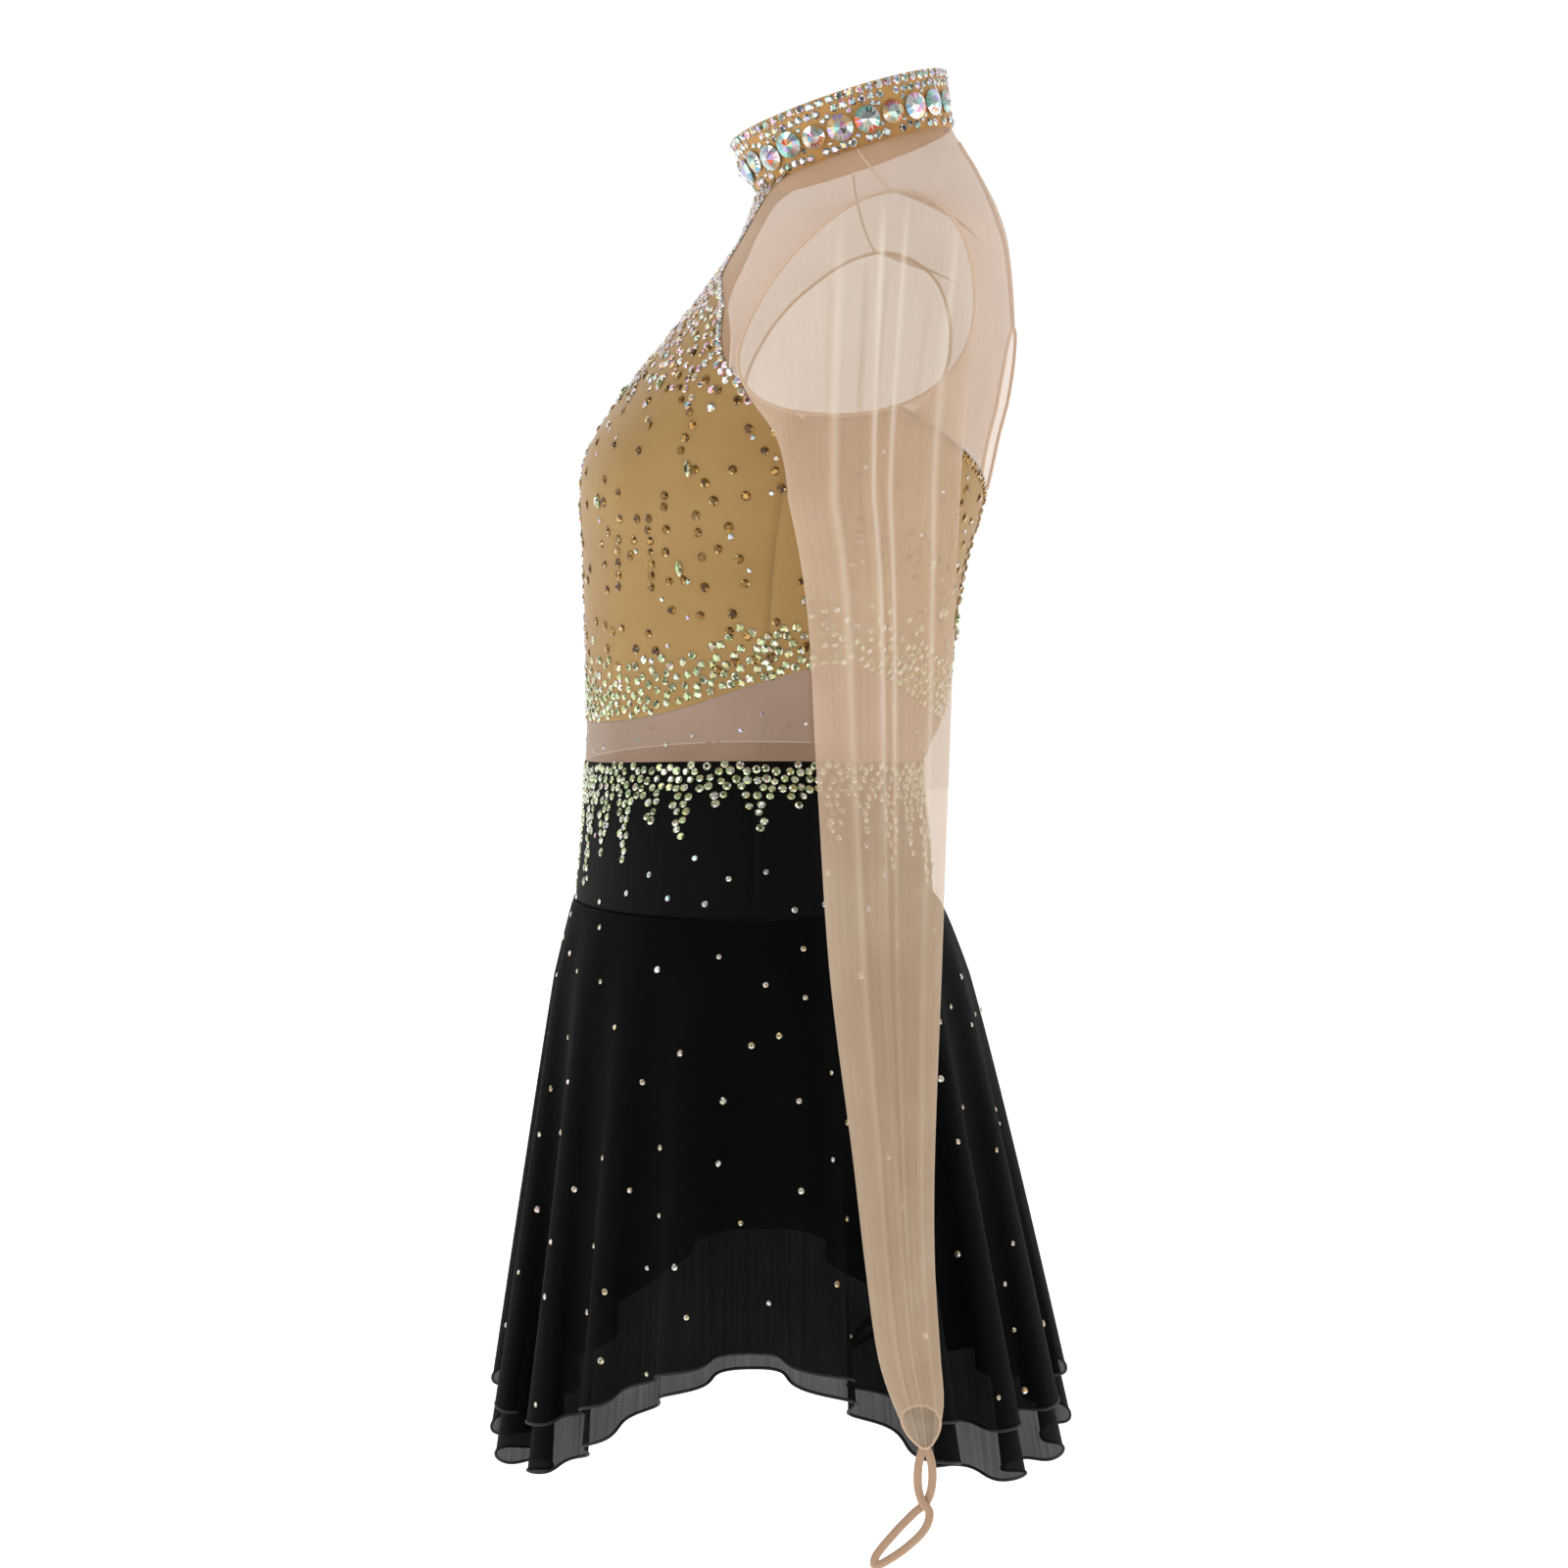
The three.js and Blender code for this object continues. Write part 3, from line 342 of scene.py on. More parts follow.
def power_mesh(name, colour, deep, cover, vary, roughness=0.75, sheen=0.3, fold_highlight=None):
    """Sheer powernet: the share of it that is thread, cover, is the surface's opacity, with upright streaks
    of vary more and less, and a diagonal net. Where the stored crease share is high the cloth lies double and
    closer, and a highlight is painted there in the lighter fold colour, standing in for the light a crease
    catches."""
    material, tree, surface = new_material(
        name, Roughness=roughness, Sheen_Weight=sheen, Sheen_Roughness=0.5, IOR=1.5, Specular_IOR_Level=0.1
    )
    uv = add_node(tree, "ShaderNodeUVMap", uv_map="cloth").outputs["UV"]
    tall = add_node(tree, "ShaderNodeMapping", {"Vector": uv, "Scale": (420.0, 9.0, 1.0)}).outputs["Vector"]
    drawn_out = {"Vector": tall, "Scale": 1.0, "Detail": 3.0}
    streak = add_node(tree, "ShaderNodeTexNoise", drawn_out).outputs["Fac"]
    slow = add_node(tree, "ShaderNodeTexNoise", {"Vector": uv, "Scale": 16.0, "Detail": 2.0}).outputs["Fac"]
    turned = add_node(tree, "ShaderNodeMapping", {"Vector": uv, "Rotation": (0, 0, np.pi / 4)})
    holes = {"Vector": turned.outputs["Vector"], "Scale": 1 / (NET * MM), "Randomness": 0.15}
    net = add_node(tree, "ShaderNodeTexVoronoi", holes).outputs["Distance"]
    together = add_node(tree, "ShaderNodeMath", {0: streak, 1: slow}, operation="ADD").outputs[0]
    woven = add_node(tree, "ShaderNodeMath", {0: net, 1: 0.35, 2: together}, operation="MULTIPLY_ADD")
    limits = {"From Min": 0.75, "From Max": 1.5, "To Min": cover - vary, "To Max": cover + vary}
    threads = add_node(tree, "ShaderNodeMapRange", {"Value": woven.outputs[0], **limits}).outputs["Result"]
    ramp = add_node(tree, "ShaderNodeValToRGB", {"Fac": slow})
    ramp.color_ramp.elements[0].position, ramp.color_ramp.elements[0].color = 0.35, linear(deep)
    ramp.color_ramp.elements[1].position, ramp.color_ramp.elements[1].color = 0.65, linear(colour)
    tint = ramp.outputs["Color"]
    if fold_highlight:
        stored = add_node(tree, "ShaderNodeAttribute", attribute_name="crease_and_highlight", attribute_type="GEOMETRY")
        crease_and_highlight = stored.outputs["Fac"]
        closer = {0: crease_and_highlight, 1: FOLD_COVER, 2: threads}
        threads = add_node(tree, "ShaderNodeMath", closer, operation="MULTIPLY_ADD").outputs[0]
        # Painted highlight: the crease share turns the colour towards the lighter fold colour, in place of the
        # light the crease edges catch.
        painted_highlight = {0: crease_and_highlight, 6: tint, 7: linear(fold_highlight)}
        tint = add_node(tree, "ShaderNodeMix", painted_highlight, data_type="RGBA").outputs[2]
    tree.links.new(threads, surface.inputs["Alpha"])
    tree.links.new(tint, surface.inputs["Base Color"])
    return material


gold_knit = knit_cloth("gold_knit", "#b28f5b", "#aa8653", 0.6, 0.2)
black_knit = knit_cloth("black_knit", "#040404", "#030303", 0.8, 0.0)
nude_mesh = power_mesh("nude_power_mesh", "#dcb899", "#d6b090", 0.57, 0.04)
# The sleeve's fold colour is a painted highlight along its creases.
sleeve_mesh = power_mesh("nude_sleeve_mesh", "#e3c9ad", "#dbbea0", 0.5, 0.05, fold_highlight="#fff0dd")
midriff_mesh = power_mesh("nude_midriff_mesh", "#b4967f", "#aa8c75", 0.8, 0.04)
black_mesh = power_mesh("black_power_mesh", "#050505", "#030303", 0.94, 0.03, roughness=0.9, sheen=0.0)
# Overlock and rolled-hem threads are matt spun polyester, which shows as a fine line lighter than the mesh.
nude_thread, _, _ = new_material("nude_overlock_thread", Base_Color=linear("#dfc1a6"), Roughness=0.8)
black_thread, _, _ = new_material("black_rolled_thread", Base_Color=linear("#060606"), Roughness=0.7)

# ------------------------------------------------------------------------------
# Bodice: a halter front that narrows to a strap under the collar, and a low band across the back, both of
# lined gold stretch cloth, sewn to the sheer panels along every edge.
# ------------------------------------------------------------------------------
SEAM_GAP = 0.5
ARMHOLE_GAP = 1.0
ARMHOLE = {"angle": 96, "height": -107, "wide": 34, "tall": 60}
KEYHOLE = {"angle": 180, "height": -167, "wide": 18, "tall": 60}
HALTER_MEETS_ARMHOLE = -150
SHOULDER_SEAM = 90
BAND_MEETS_ARMHOLE = 112
BAND_MEETS_KEYHOLE = 167
HEM_TURN = [0, 40, 65, 85, 105, 125, 150, 180]
HEM_HEIGHT = [-345, -342, -334, -321, -309, -316, -336, -347]
HALTER_HEIGHT = [-150, -135, -105, -90, -79, -60, -40, -2]
HALTER_HALF = [150, 141, 124, 108, 92, 72, 56, 41]
ARMHOLE_FOOT = ARMHOLE["height"] - ARMHOLE["tall"]
BODICE_WALL = 1.0


def from_front(angle):
    """How far an angle is from the front, going the shorter way."""
    return np.abs((np.asarray(angle) + 180) % 360 - 180)


def bodice_hem(angle):
    """The height of the bodice's lower edge: low at front and back, high under the arms."""
    return through(HEM_TURN, HEM_HEIGHT, from_front(angle))


def armhole_angle(height, half, grow=0.0):
    """Where the armhole's oval lies at a height, on its front (-1) or back (+1) half."""
    rise = (height - ARMHOLE["height"]) / (ARMHOLE["tall"] + grow)
    return ARMHOLE["angle"] + half * (ARMHOLE["wide"] + grow / 2) * np.sqrt(np.clip(1 - rise**2, 0, None))


def oval_height(oval, angle, half, grow=0.0):
    """The height of an oval's upper (+1) or lower (-1) half at an angle."""
    along = (angle - oval["angle"]) / (oval["wide"] + grow / 2)
    return oval["height"] + half * (oval["tall"] + grow) * np.sqrt(np.clip(1 - along**2, 0, None))


def halter_angle(height):
    """The angle of the halter's edge: where the strap's half width meets the body's ring."""
    half = through(HALTER_HEIGHT, HALTER_HALF, height)
    ring = through(RING_HEIGHT, RING_HALF, height)
    square = through(RING_HEIGHT, RING_SQUARE, height)
    return np.degrees(np.arcsin(np.minimum(1, (half / ring) ** (square / 2))))


def front_bodice_at(s, t):
    """The body between the halter's two edges, or the side seams below the armhole; heights run evenly up
    to the neck, and near the foot they follow the hem."""
    foot = bodice_hem(0)
    height = mix(foot, NECK, t)
    armhole_edge = np.minimum(SHOULDER_SEAM, armhole_angle(height, -1, ARMHOLE_GAP))
    edge = np.where(height > HALTER_MEETS_ARMHOLE, halter_angle(height), armhole_edge)
    edge = np.where(height < ARMHOLE_FOOT, SHOULDER_SEAM, edge)
    angle = (2 * s - 1) * edge
    return body(angle, height + (bodice_hem(angle) - foot) * np.maximum(0, 1 - t / 0.4))


def back_bodice_top(angle):
    """The band's upper edge: under the armhole, then straight, then the foot of the keyhole."""
    turn = from_front(angle)
    at_arm = oval_height(ARMHOLE, np.minimum(turn, BAND_MEETS_ARMHOLE), -1, ARMHOLE_GAP)
    at_hole = oval_height(KEYHOLE, np.maximum(turn, BAND_MEETS_KEYHOLE), -1)
    start = oval_height(ARMHOLE, BAND_MEETS_ARMHOLE, -1, ARMHOLE_GAP)
    end = oval_height(KEYHOLE, BAND_MEETS_KEYHOLE, -1)
    straight = mix(start, end, (turn - BAND_MEETS_ARMHOLE) / (BAND_MEETS_KEYHOLE - BAND_MEETS_ARMHOLE))
    return np.where(turn < BAND_MEETS_ARMHOLE, at_arm, np.where(turn > BAND_MEETS_KEYHOLE, at_hole, straight))


def back_bodice_at(s, t):
    """The body between the hem and the band's upper edge, round the back from side seam to side seam."""
    angle = mix(SHOULDER_SEAM, 360 - SHOULDER_SEAM, s)
    return body(angle, mix(bodice_hem(angle), back_bodice_top(angle), t))


BODICE = (  # name, surface, cells across and up, size and area of the flat cloth
    ("front_bodice", front_bodice_at, (90, 110), (0.41, 0.35), 0.108),
    ("back_bodice", back_bodice_at, (90, 30), (0.42, 0.19), 0.057),
)
for piece_name, surface, cells, flat, area in BODICE:
    points = surface(*grid(*cells))
    bodice = cloth_piece(f"{piece_name}_cloth", points, gold_knit, wall=BODICE_WALL)
    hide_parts(piece_name)

# ------------------------------------------------------------------------------
# Yokes: one layer of skin-tone powernet from the collar over the shoulders, joined by a shoulder seam, with
# the back ones meeting only at the nape above the open keyhole.
# ------------------------------------------------------------------------------
SEAM_SHARE = 0.34
YOKE_FOOT = HALTER_MEETS_ARMHOLE + 6
SEAM_HALF_ANGLE = 0.25
BAND_GAP = SEAM_GAP + 0.3
SLIT_HALF = 0.6
HALTER_ROOM = 0.9  # degrees between a front yoke and the halter


def shoulder_edge(half, foot, t):
    """Angle and height along a yoke's outer edge: down the shoulder seam, then round the armhole's oval."""
    grown = ARMHOLE["tall"] + ARMHOLE_GAP
    end_turn = np.arcsin((foot - ARMHOLE["height"]) / grown)
    share = np.clip(t / SEAM_SHARE, 0, 1)
    seam_angle = mix(SHOULDER_SEAM, ARMHOLE["angle"], share**2) + half * SEAM_HALF_ANGLE
    seam_height = mix(NECK, ARMHOLE["height"] + grown, share)
    turn = mix(np.pi / 2, end_turn, np.clip((t - SEAM_SHARE) / (1 - SEAM_SHARE), 0, 1))
    wide = ARMHOLE["wide"] + ARMHOLE_GAP / 2
    on_seam = t < SEAM_SHARE
    angle = np.where(on_seam, seam_angle, ARMHOLE["angle"] + half * wide * np.cos(turn))
    return angle, np.where(on_seam, seam_height, ARMHOLE["height"] + grown * np.sin(turn))


def halter_edge(t):
    """Angle and height along a front yoke's inner edge, beside the halter."""
    height = mix(NECK, YOKE_FOOT, t)
    return halter_angle(height) + HALTER_ROOM, height


def centre_back_edge(t):
    """Angle and height along a back yoke's inner edge: down the slit, then round the keyhole."""
    share = np.clip(t / SEAM_SHARE, 0, 1)
    end_turn = -np.arccos((KEYHOLE["angle"] - BAND_MEETS_KEYHOLE) / KEYHOLE["wide"])
    turn = mix(np.pi / 2, end_turn, np.clip((t - SEAM_SHARE) / (1 - SEAM_SHARE), 0, 1))
    on_slit = t < SEAM_SHARE
    angle = np.where(on_slit, 180 - SLIT_HALF, 180 - SLIT_HALF - KEYHOLE["wide"] * np.cos(turn))
    slit_height = mix(NECK, KEYHOLE["height"] + KEYHOLE["tall"], share)
    return angle, np.where(on_slit, slit_height, KEYHOLE["height"] + KEYHOLE["tall"] * np.sin(turn))


BACK_FOOT = oval_height(ARMHOLE, BAND_MEETS_ARMHOLE, -1) + BAND_GAP


def mirrored(points, side):
    """Points moved to the wearer's right, where side is -1."""
    return points * np.array([side, 1, 1])


def yoke(edge_a, edge_b, side):
    """A surface ruled on the body between two edges, s from one to the other and t from the collar down. On
    the wearer's right it is mirrored, and s runs the other way so that it still faces out."""

    def place(s, t):
        down = 1 - t
        share = s if side > 0 else 1 - s
        (angle_a, height_a), (angle_b, height_b) = edge_a(down), edge_b(down)
        return mirrored(body(mix(angle_a, angle_b, share), mix(height_a, height_b, share)), side)

    return place


SIDES = (("left", 1), ("right", -1))
YOKES = (  # which, its two edges, cells across and up, size and area of the flat cloth
    ("front", halter_edge, lambda t: shoulder_edge(-1, YOKE_FOOT - 2, t), (30, 60), (0.13, 0.19), 0.0125),
    ("back", lambda t: shoulder_edge(1, BACK_FOOT, t), centre_back_edge, (40, 80), (0.2, 0.26), 0.028),
)
SEAMS = (  # an overlocked seam and a rolled binding: edge, its shares, points, radius, a point inside
    ("shoulder_seam", lambda t: shoulder_edge(0, YOKE_FOOT, t), (0.01, SEAM_SHARE), 24, 0.7, (0, 10, -150)),
    ("keyhole_binding", centre_back_edge, (0.02, 0.985), 90, 1.1, (0, -30, -150)),
)
for side_name, side in SIDES:
    for half_name, edge_a, edge_b, cells, flat, area in YOKES:
        points = yoke(edge_a, edge_b, side)(*grid(*cells))
        panel = cloth_piece(f"{half_name}_yoke_mesh_{side_name}", points, nude_mesh)
        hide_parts(f"{half_name}_yoke_{side_name}")
    for seam_name, edge, ends, count, radius, inside in SEAMS:
        line = mirrored(body(*edge(np.linspace(*ends, count))), side)
        facing = line - np.array(inside)
        seam_piece(f"{seam_name}_{side_name}", line, facing, radius, nude_thread, slot="nude_mesh")

# ------------------------------------------------------------------------------
# Midriff and hip yoke: a sheer skin-tone inset under the bodice, then a snug black yoke with an elastic
# stitched inside its upper edge. Each has a front and a back, joined at the sides.
# ------------------------------------------------------------------------------
WAIST = -369
HALVES = (("front", -90), ("back", 90))
HIP_WALL = 0.9
ELASTIC_WALL, ELASTIC_DEEP, ELASTIC_BELOW = 0.8, 8, 3
ELASTIC_SHARE = 0.982  # of the waist's width and depth, so that it lies inside the yoke
WAIST_MIDDLE_Y = -54


def waist_line(angle):
    """The height of the hip yoke's upper edge, a little higher at the sides."""
    return WAIST + 5 * np.sin(np.radians(angle)) ** 2


def midriff_skin(start, room):
    """Half way round the body from a start angle, between the waist line and the bodice's hem, with room
    left to both."""

    def place(s, t):
        angle = start + s * 180
        return body(angle, mix(waist_line(angle) + room, bodice_hem(angle) - room, t))

    return place


for half_name, start in HALVES:
    points = midriff_skin(start, SEAM_GAP)(*grid(80, 16))
    midriff = cloth_piece(f"{half_name}_midriff_mesh", points, midriff_mesh)
    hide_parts(f"{half_name}_midriff")
    s, t = grid(80, 24)
    points = body(start + s * 180, mix(HIP + SEAM_GAP / 2, waist_line(start + s * 180), t))
    hips = cloth_piece(f"{half_name}_hip_yoke_cloth", points, black_knit, wall=HIP_WALL)
    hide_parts(f"{half_name}_hip_yoke")

s, t = grid(160, 4)
points = body(s * 360, waist_line(s * 360) - ELASTIC_BELOW - ELASTIC_DEEP * (1 - t))
points[..., 0] *= ELASTIC_SHARE
points[..., 1] = mix(WAIST_MIDDLE_Y, points[..., 1], ELASTIC_SHARE)
waist_elastic = cloth_piece(
    "waist_elastic_braid", points, black_knit, round_=True, wall=ELASTIC_WALL
)
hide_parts("waist_elastic")

# ------------------------------------------------------------------------------
# Skirt: two layers of black powernet cut as part circles, longer at the front and back than at the sides, so
# they fall in flutes. Each hem is a narrow roll of black thread.
# ------------------------------------------------------------------------------
FRONT_LENGTH, BACK_LENGTH, SIDE_LENGTH = 331, 324, 247
OVER_LAYER_SHORTER = 30
LAYER_ROOM = 4
FLUTES = 18
FLUTE_DEPTH = 19
FLUTE_SWING = 8  # how far a flute's sides lean over the hollows, at the hem
FLARE_FRONT, FLARE_SIDE, FLARE_BACK = 34, 58, 78
HIP_HALF = RING_HALF[0]
SKIRT_MIDDLE_Y, SPREAD_NARROW = -58, 1.4  # flutes point away from the middle, and less so to the sides


def skirt_length(angle, shorter):
    """The cloth's drop at an angle: the side length, plus what the front or back adds away from the sides."""
    front = np.cos(np.radians(angle)) > 0
    sideways = np.abs(np.sin(np.radians(angle)))
    longer = np.where(front, FRONT_LENGTH, BACK_LENGTH) - SIDE_LENGTH
    longer = longer * (1 - sideways ** np.where(front, 4.5, 6))
    return SIDE_LENGTH + longer - shorter * (1 - 0.7 * sideways**5)


def skirt_at(angle, drop, lift, phase=0.0):
    """A cone that leaves the hip seam and widens with the drop, plus flutes: a cosine round the skirt whose
    crests are unevenly spaced and of uneven depth, growing with the drop, and whose sides lean over."""
    turn = np.radians(angle)
    side = np.sin(turn) ** 2
    share = np.sqrt(drop / FRONT_LENGTH) * 0.35 + 0.65 * drop / FRONT_LENGTH
    flare = side * FLARE_SIDE + (1 - side) * np.where(np.cos(turn) > 0, FLARE_FRONT, FLARE_BACK)
    wander = 1.1 * np.sin(2 * turn) + 0.5 * np.sin(5 * turn + 1) + phase
    uneven = 0.8 + 0.3 * np.sin(3 * turn + 2)
    grown = (drop / FRONT_LENGTH) ** 1.1
    flute = FLUTE_DEPTH * grown * uneven * np.cos(FLUTES * turn + wander)
    swing = FLUTE_SWING * grown**1.5 * uneven * np.sin(2 * (FLUTES * turn + wander))
    seam = body(angle + np.degrees(swing / HIP_HALF), HIP)
    out = np.stack([seam[..., 0] / SPREAD_NARROW, seam[..., 1] - SKIRT_MIDDLE_Y, 0 * seam[..., 0]], -1)
    out /= np.linalg.norm(out, axis=-1, keepdims=True)
    place = seam + out * (flare * share + flute + lift)[..., None]
    place[..., 2] = HIP - drop
    return place


skirt_surfaces = {}
for half_name, start in HALVES:
    for layer_name, lift, shorter in (("under", 0.0, 0), ("over", 1.0, OVER_LAYER_SHORTER)):

        def layer_at(s, t, start=start, lift=lift, shorter=shorter):
            """One layer of the skirt, t from its hem up; the upper layer stands off below the hip seam."""
            angle = start + s * 180
            drop = SEAM_GAP / 2 + (1 - t) * skirt_length(angle, shorter)
            apart = lift * (0.6 + (LAYER_ROOM - 0.6) * np.minimum(1, 6 * (1 - t)))
            return skirt_at(angle, drop, apart, phase=0.15 * lift * (1 - t))

        skirt_surfaces[half_name, layer_name] = layer_at
        layer = f"{half_name}_{layer_name}_skirt"
        points = layer_at(*grid(360, 60))
        skirt = cloth_piece(f"{layer}_mesh", points, black_mesh)
        downwards = points[0] - points[1]
        hem = seam_piece(f"{layer}_hem", points[0], downwards, 0.9, black_thread, slot="black_mesh")
        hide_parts(layer)

# ------------------------------------------------------------------------------
# Briefs: a black front and back of lined stretch cloth sewn into the hip seam, joined by a gusset, with a
# narrow turned edge round each leg.
# ------------------------------------------------------------------------------
BRIEF_TOP = HIP + 6
BRIEF_INSET = 2.2
CROTCH_Y, CROTCH_Z, CROTCH_WIDE, CROTCH_DEEP, CROTCH_TURN = -58, HIP - 118, 100, 38, 20
BRIEF_POWER = 2 / 2.2
GUSSET_ROOM = 1.25


def brief_panel(direction):
    """A half ring at the hip that gets smaller and narrower down to the gusset: the bent sine and cosine of
    an angle that shrinks with the drop. Direction -1 is the front."""
    side_point, end_point = body(90, BRIEF_TOP), body(0 if direction < 0 else 180, BRIEF_TOP)
    wide_top, deep_top = side_point[0] - BRIEF_INSET, abs(end_point[1] - side_point[1]) - BRIEF_INSET

    def place(s, t):
        down = 1 - t
        turn = np.radians((2 * s - 1) * mix(89.6, CROTCH_TURN, down**0.8))
        wide = mix(wide_top, CROTCH_WIDE, down**1.2)
        deep = mix(deep_top, CROTCH_DEEP, down**2.5)
        x = -direction * wide * bent(np.sin(turn), BRIEF_POWER)
        y = mix(side_point[1], CROTCH_Y, down) + direction * deep * bent(np.cos(turn), BRIEF_POWER)
        return np.stack([x, y, mix(BRIEF_TOP, CROTCH_Z, down) + 0 * x], -1)

    return place


brief_front_at, brief_back_at = brief_panel(-1), brief_panel(1)


def gusset_at(s, t):
    """A strip that sags between the feet of the two panels."""
    front = brief_front_at(1 - s, 0 * t)
    back = brief_back_at(s, 0 * t)
    y = mix(front[..., 1] + GUSSET_ROOM, back[..., 1] - GUSSET_ROOM, t)
    return np.stack([front[..., 0], y, front[..., 2] - 8 * np.sin(t * np.pi)], -1)


BRIEF_PIECES = (  # name, surface, size and area of the flat cloth
    ("brief_front", brief_front_at, (0.36, 0.14), 0.031),
    ("brief_back", brief_back_at, (0.36, 0.14), 0.0315),
    ("gusset", gusset_at, (0.08, 0.08), 0.0055),
)
BRIEF_WALL = 0.8
BRIEF_MIDDLE = np.array([0, CROTCH_Y, HIP - 60])
for piece_name, surface, flat, area in BRIEF_PIECES:
    points = surface(*grid(60, 40))
    brief = cloth_piece(f"{piece_name}_cloth", points, black_knit, wall=BRIEF_WALL)
    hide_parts(piece_name)
    if piece_name == "gusset":
        continue
    for edge_name, column in (("first", 0), ("second", -1)):
        edge = points[:, column]
        leg_name = f"{piece_name}_leg_edge_{edge_name}"
        seam_piece(leg_name, edge, edge - BRIEF_MIDDLE, 1.3, black_knit, slot="elastic")

# ------------------------------------------------------------------------------
# Bust cups: rounds of moulded foam covered in the lining, thickest in the middle and thin at the rim, that
# lie loose inside the front bodice.
# ------------------------------------------------------------------------------
CUP_ANGLE, CUP_HEIGHT, CUP_WIDE, CUP_TALL, CUP_FOAM, CUP_RIM = 33, -205, 21, 48, 7, 1.2
CUP_DEPTH = 2.65  # from the body's skin in to the foam, past the cloth
# The lining is a thin pale knit, which takes on the foam's soft matt look.
cup_foam = knit_cloth("lining_over_foam", "#e3cbb0", "#dcc2a5", 0.8, 0.2)


def body_normal(angle, height):
    """The unit normal of the body's skin: the cross product of a step round it and a step up it."""
    around = body(angle + 0.5, height) - body(angle - 0.5, height)
    normal = np.cross(around, body(angle, height + 1) - body(angle, height))
    return normal / np.linalg.norm(normal, axis=-1, keepdims=True)


def cup_at(side, s, t, inside=0.0):
    """A round of the body's skin, moved in past the cloth; the inner face is moved in by the foam too."""
    angle = side * (CUP_ANGLE + CUP_WIDE * t * np.cos(s * 2 * np.pi))
    height = CUP_HEIGHT + CUP_TALL * t * np.sin(s * 2 * np.pi)
    depth = CUP_DEPTH + inside * (CUP_RIM + (CUP_FOAM - CUP_RIM) * (1 - t**2))
    return body(angle, height) - body_normal(angle, height) * depth[..., None]


for side_name, side in SIDES:
    rounds, turns = np.meshgrid(np.linspace(0.02, 1, 14), np.linspace(0, 1, 49), indexing="ij")
    outer, inner = cup_at(side, turns, rounds), cup_at(side, turns, rounds, inside=1.0)
    points = np.concatenate([outer[:, ::side], inner[::-1, ::side]])
    cup = cloth_piece(f"bust_cup_{side_name}_foam", points, cup_foam, round_=True)
    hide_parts(f"bust_cup_{side_name}")

# ------------------------------------------------------------------------------
# Sleeves: long tubes of one layer of skin-tone powernet, set into the armholes, hanging empty and flattened
# in long upright folds, and cut to a point at the cuff.
# ------------------------------------------------------------------------------
SHOULDER = body(ARMHOLE["angle"], ARMHOLE["height"] + ARMHOLE["tall"])
SLEEVE_DROP = 682
CAP_DROP = 170
CUFF_SLANT = 20
CAP_SHARE = 0.36
SEAM_ROOM = 1.5  # how far the sleeve's edge stands off the body
DROPS = [0, 109, 217, 323, 429, 533, 585, 635, 661, 682]
TUBE_X = [172, 196, 206, 215, 224, 234, 240, 246, 250, 254]
TUBE_Y = [8, 9, 16.5, 18, 19.5, 24, 27, 32, 37, 40]
TUBE_DEEP = [14, 15, 15, 14, 12, 10, 9, 7.5, 6, 3.5]
TUBE_WIDE = [62, 55, 41.5, 36, 30.5, 22, 19, 17, 13.5, 6]


def tube(turn, drop):
    """A flattened ring of the hanging sleeve: the half width times the cosine goes forward, and the half
    depth times the bent sine goes outward."""
    x = through(DROPS, TUBE_X, drop) + through(DROPS, TUBE_DEEP, drop) * bent(np.sin(turn), 0.8)
    y = through(DROPS, TUBE_Y, drop) - through(DROPS, TUBE_WIDE, drop) * np.cos(turn)
    return np.stack([x, y, SHOULDER[2] - drop + 0 * x], -1)


FOLDS = {  # by face: place across at the top and at the cuff (-1 back to 1 front), width, height in mm
    "outer": (
        (0.14, -0.1, 0.04, 3.2), (-0.04, -0.3, 0.035, 3.6), (0.5, 0.3, 0.08, 3.0), (-0.6, -0.62, 0.06, 4.0),
    ),
    "inner": ((0.2, 0.05, 0.06, 3.5), (-0.35, -0.3, 0.08, 3.5)),
}  # fmt: skip


def sleeve_folds(turn, drop):
    """How far the cloth stands out: long narrow ridges down each face, each a bell curve across whose place
    drifts as it goes down, fading at the shoulder and the cuff, with small slanting creases between them."""
    across = np.cos(turn)
    fade = ease((drop - 20) / 90) * (1 - 0.6 * ease((drop - 420) / 230))
    height = np.zeros_like(across)
    for face, sign in (("outer", 1), ("inner", -1)):
        for top, cuff, width, tall in FOLDS[face]:
            middle = mix(top, cuff, drop / SLEEVE_DROP) + 0.03 * np.sin(drop / 70 + 9 * top)
            ridge = tall * np.exp(-(((across - middle) / width) ** 2))
            height = height + np.where(sign * np.sin(turn) > 0, ridge, 0)
    ripple = 0.45 * np.sin(11 * across + drop / 40) * np.sin(drop / 67)
    creases = ripple + 0.9 * np.sin(4.2 * across + drop / 210)
    return fade * np.abs(np.sin(turn)) ** 0.5 * (height + creases)


def folded_tube(turn, drop):
    """The tube with its folds standing out from both faces."""
    place = tube(turn, drop)
    place[..., 0] += sleeve_folds(turn, drop) * np.sign(np.sin(turn))
    return place


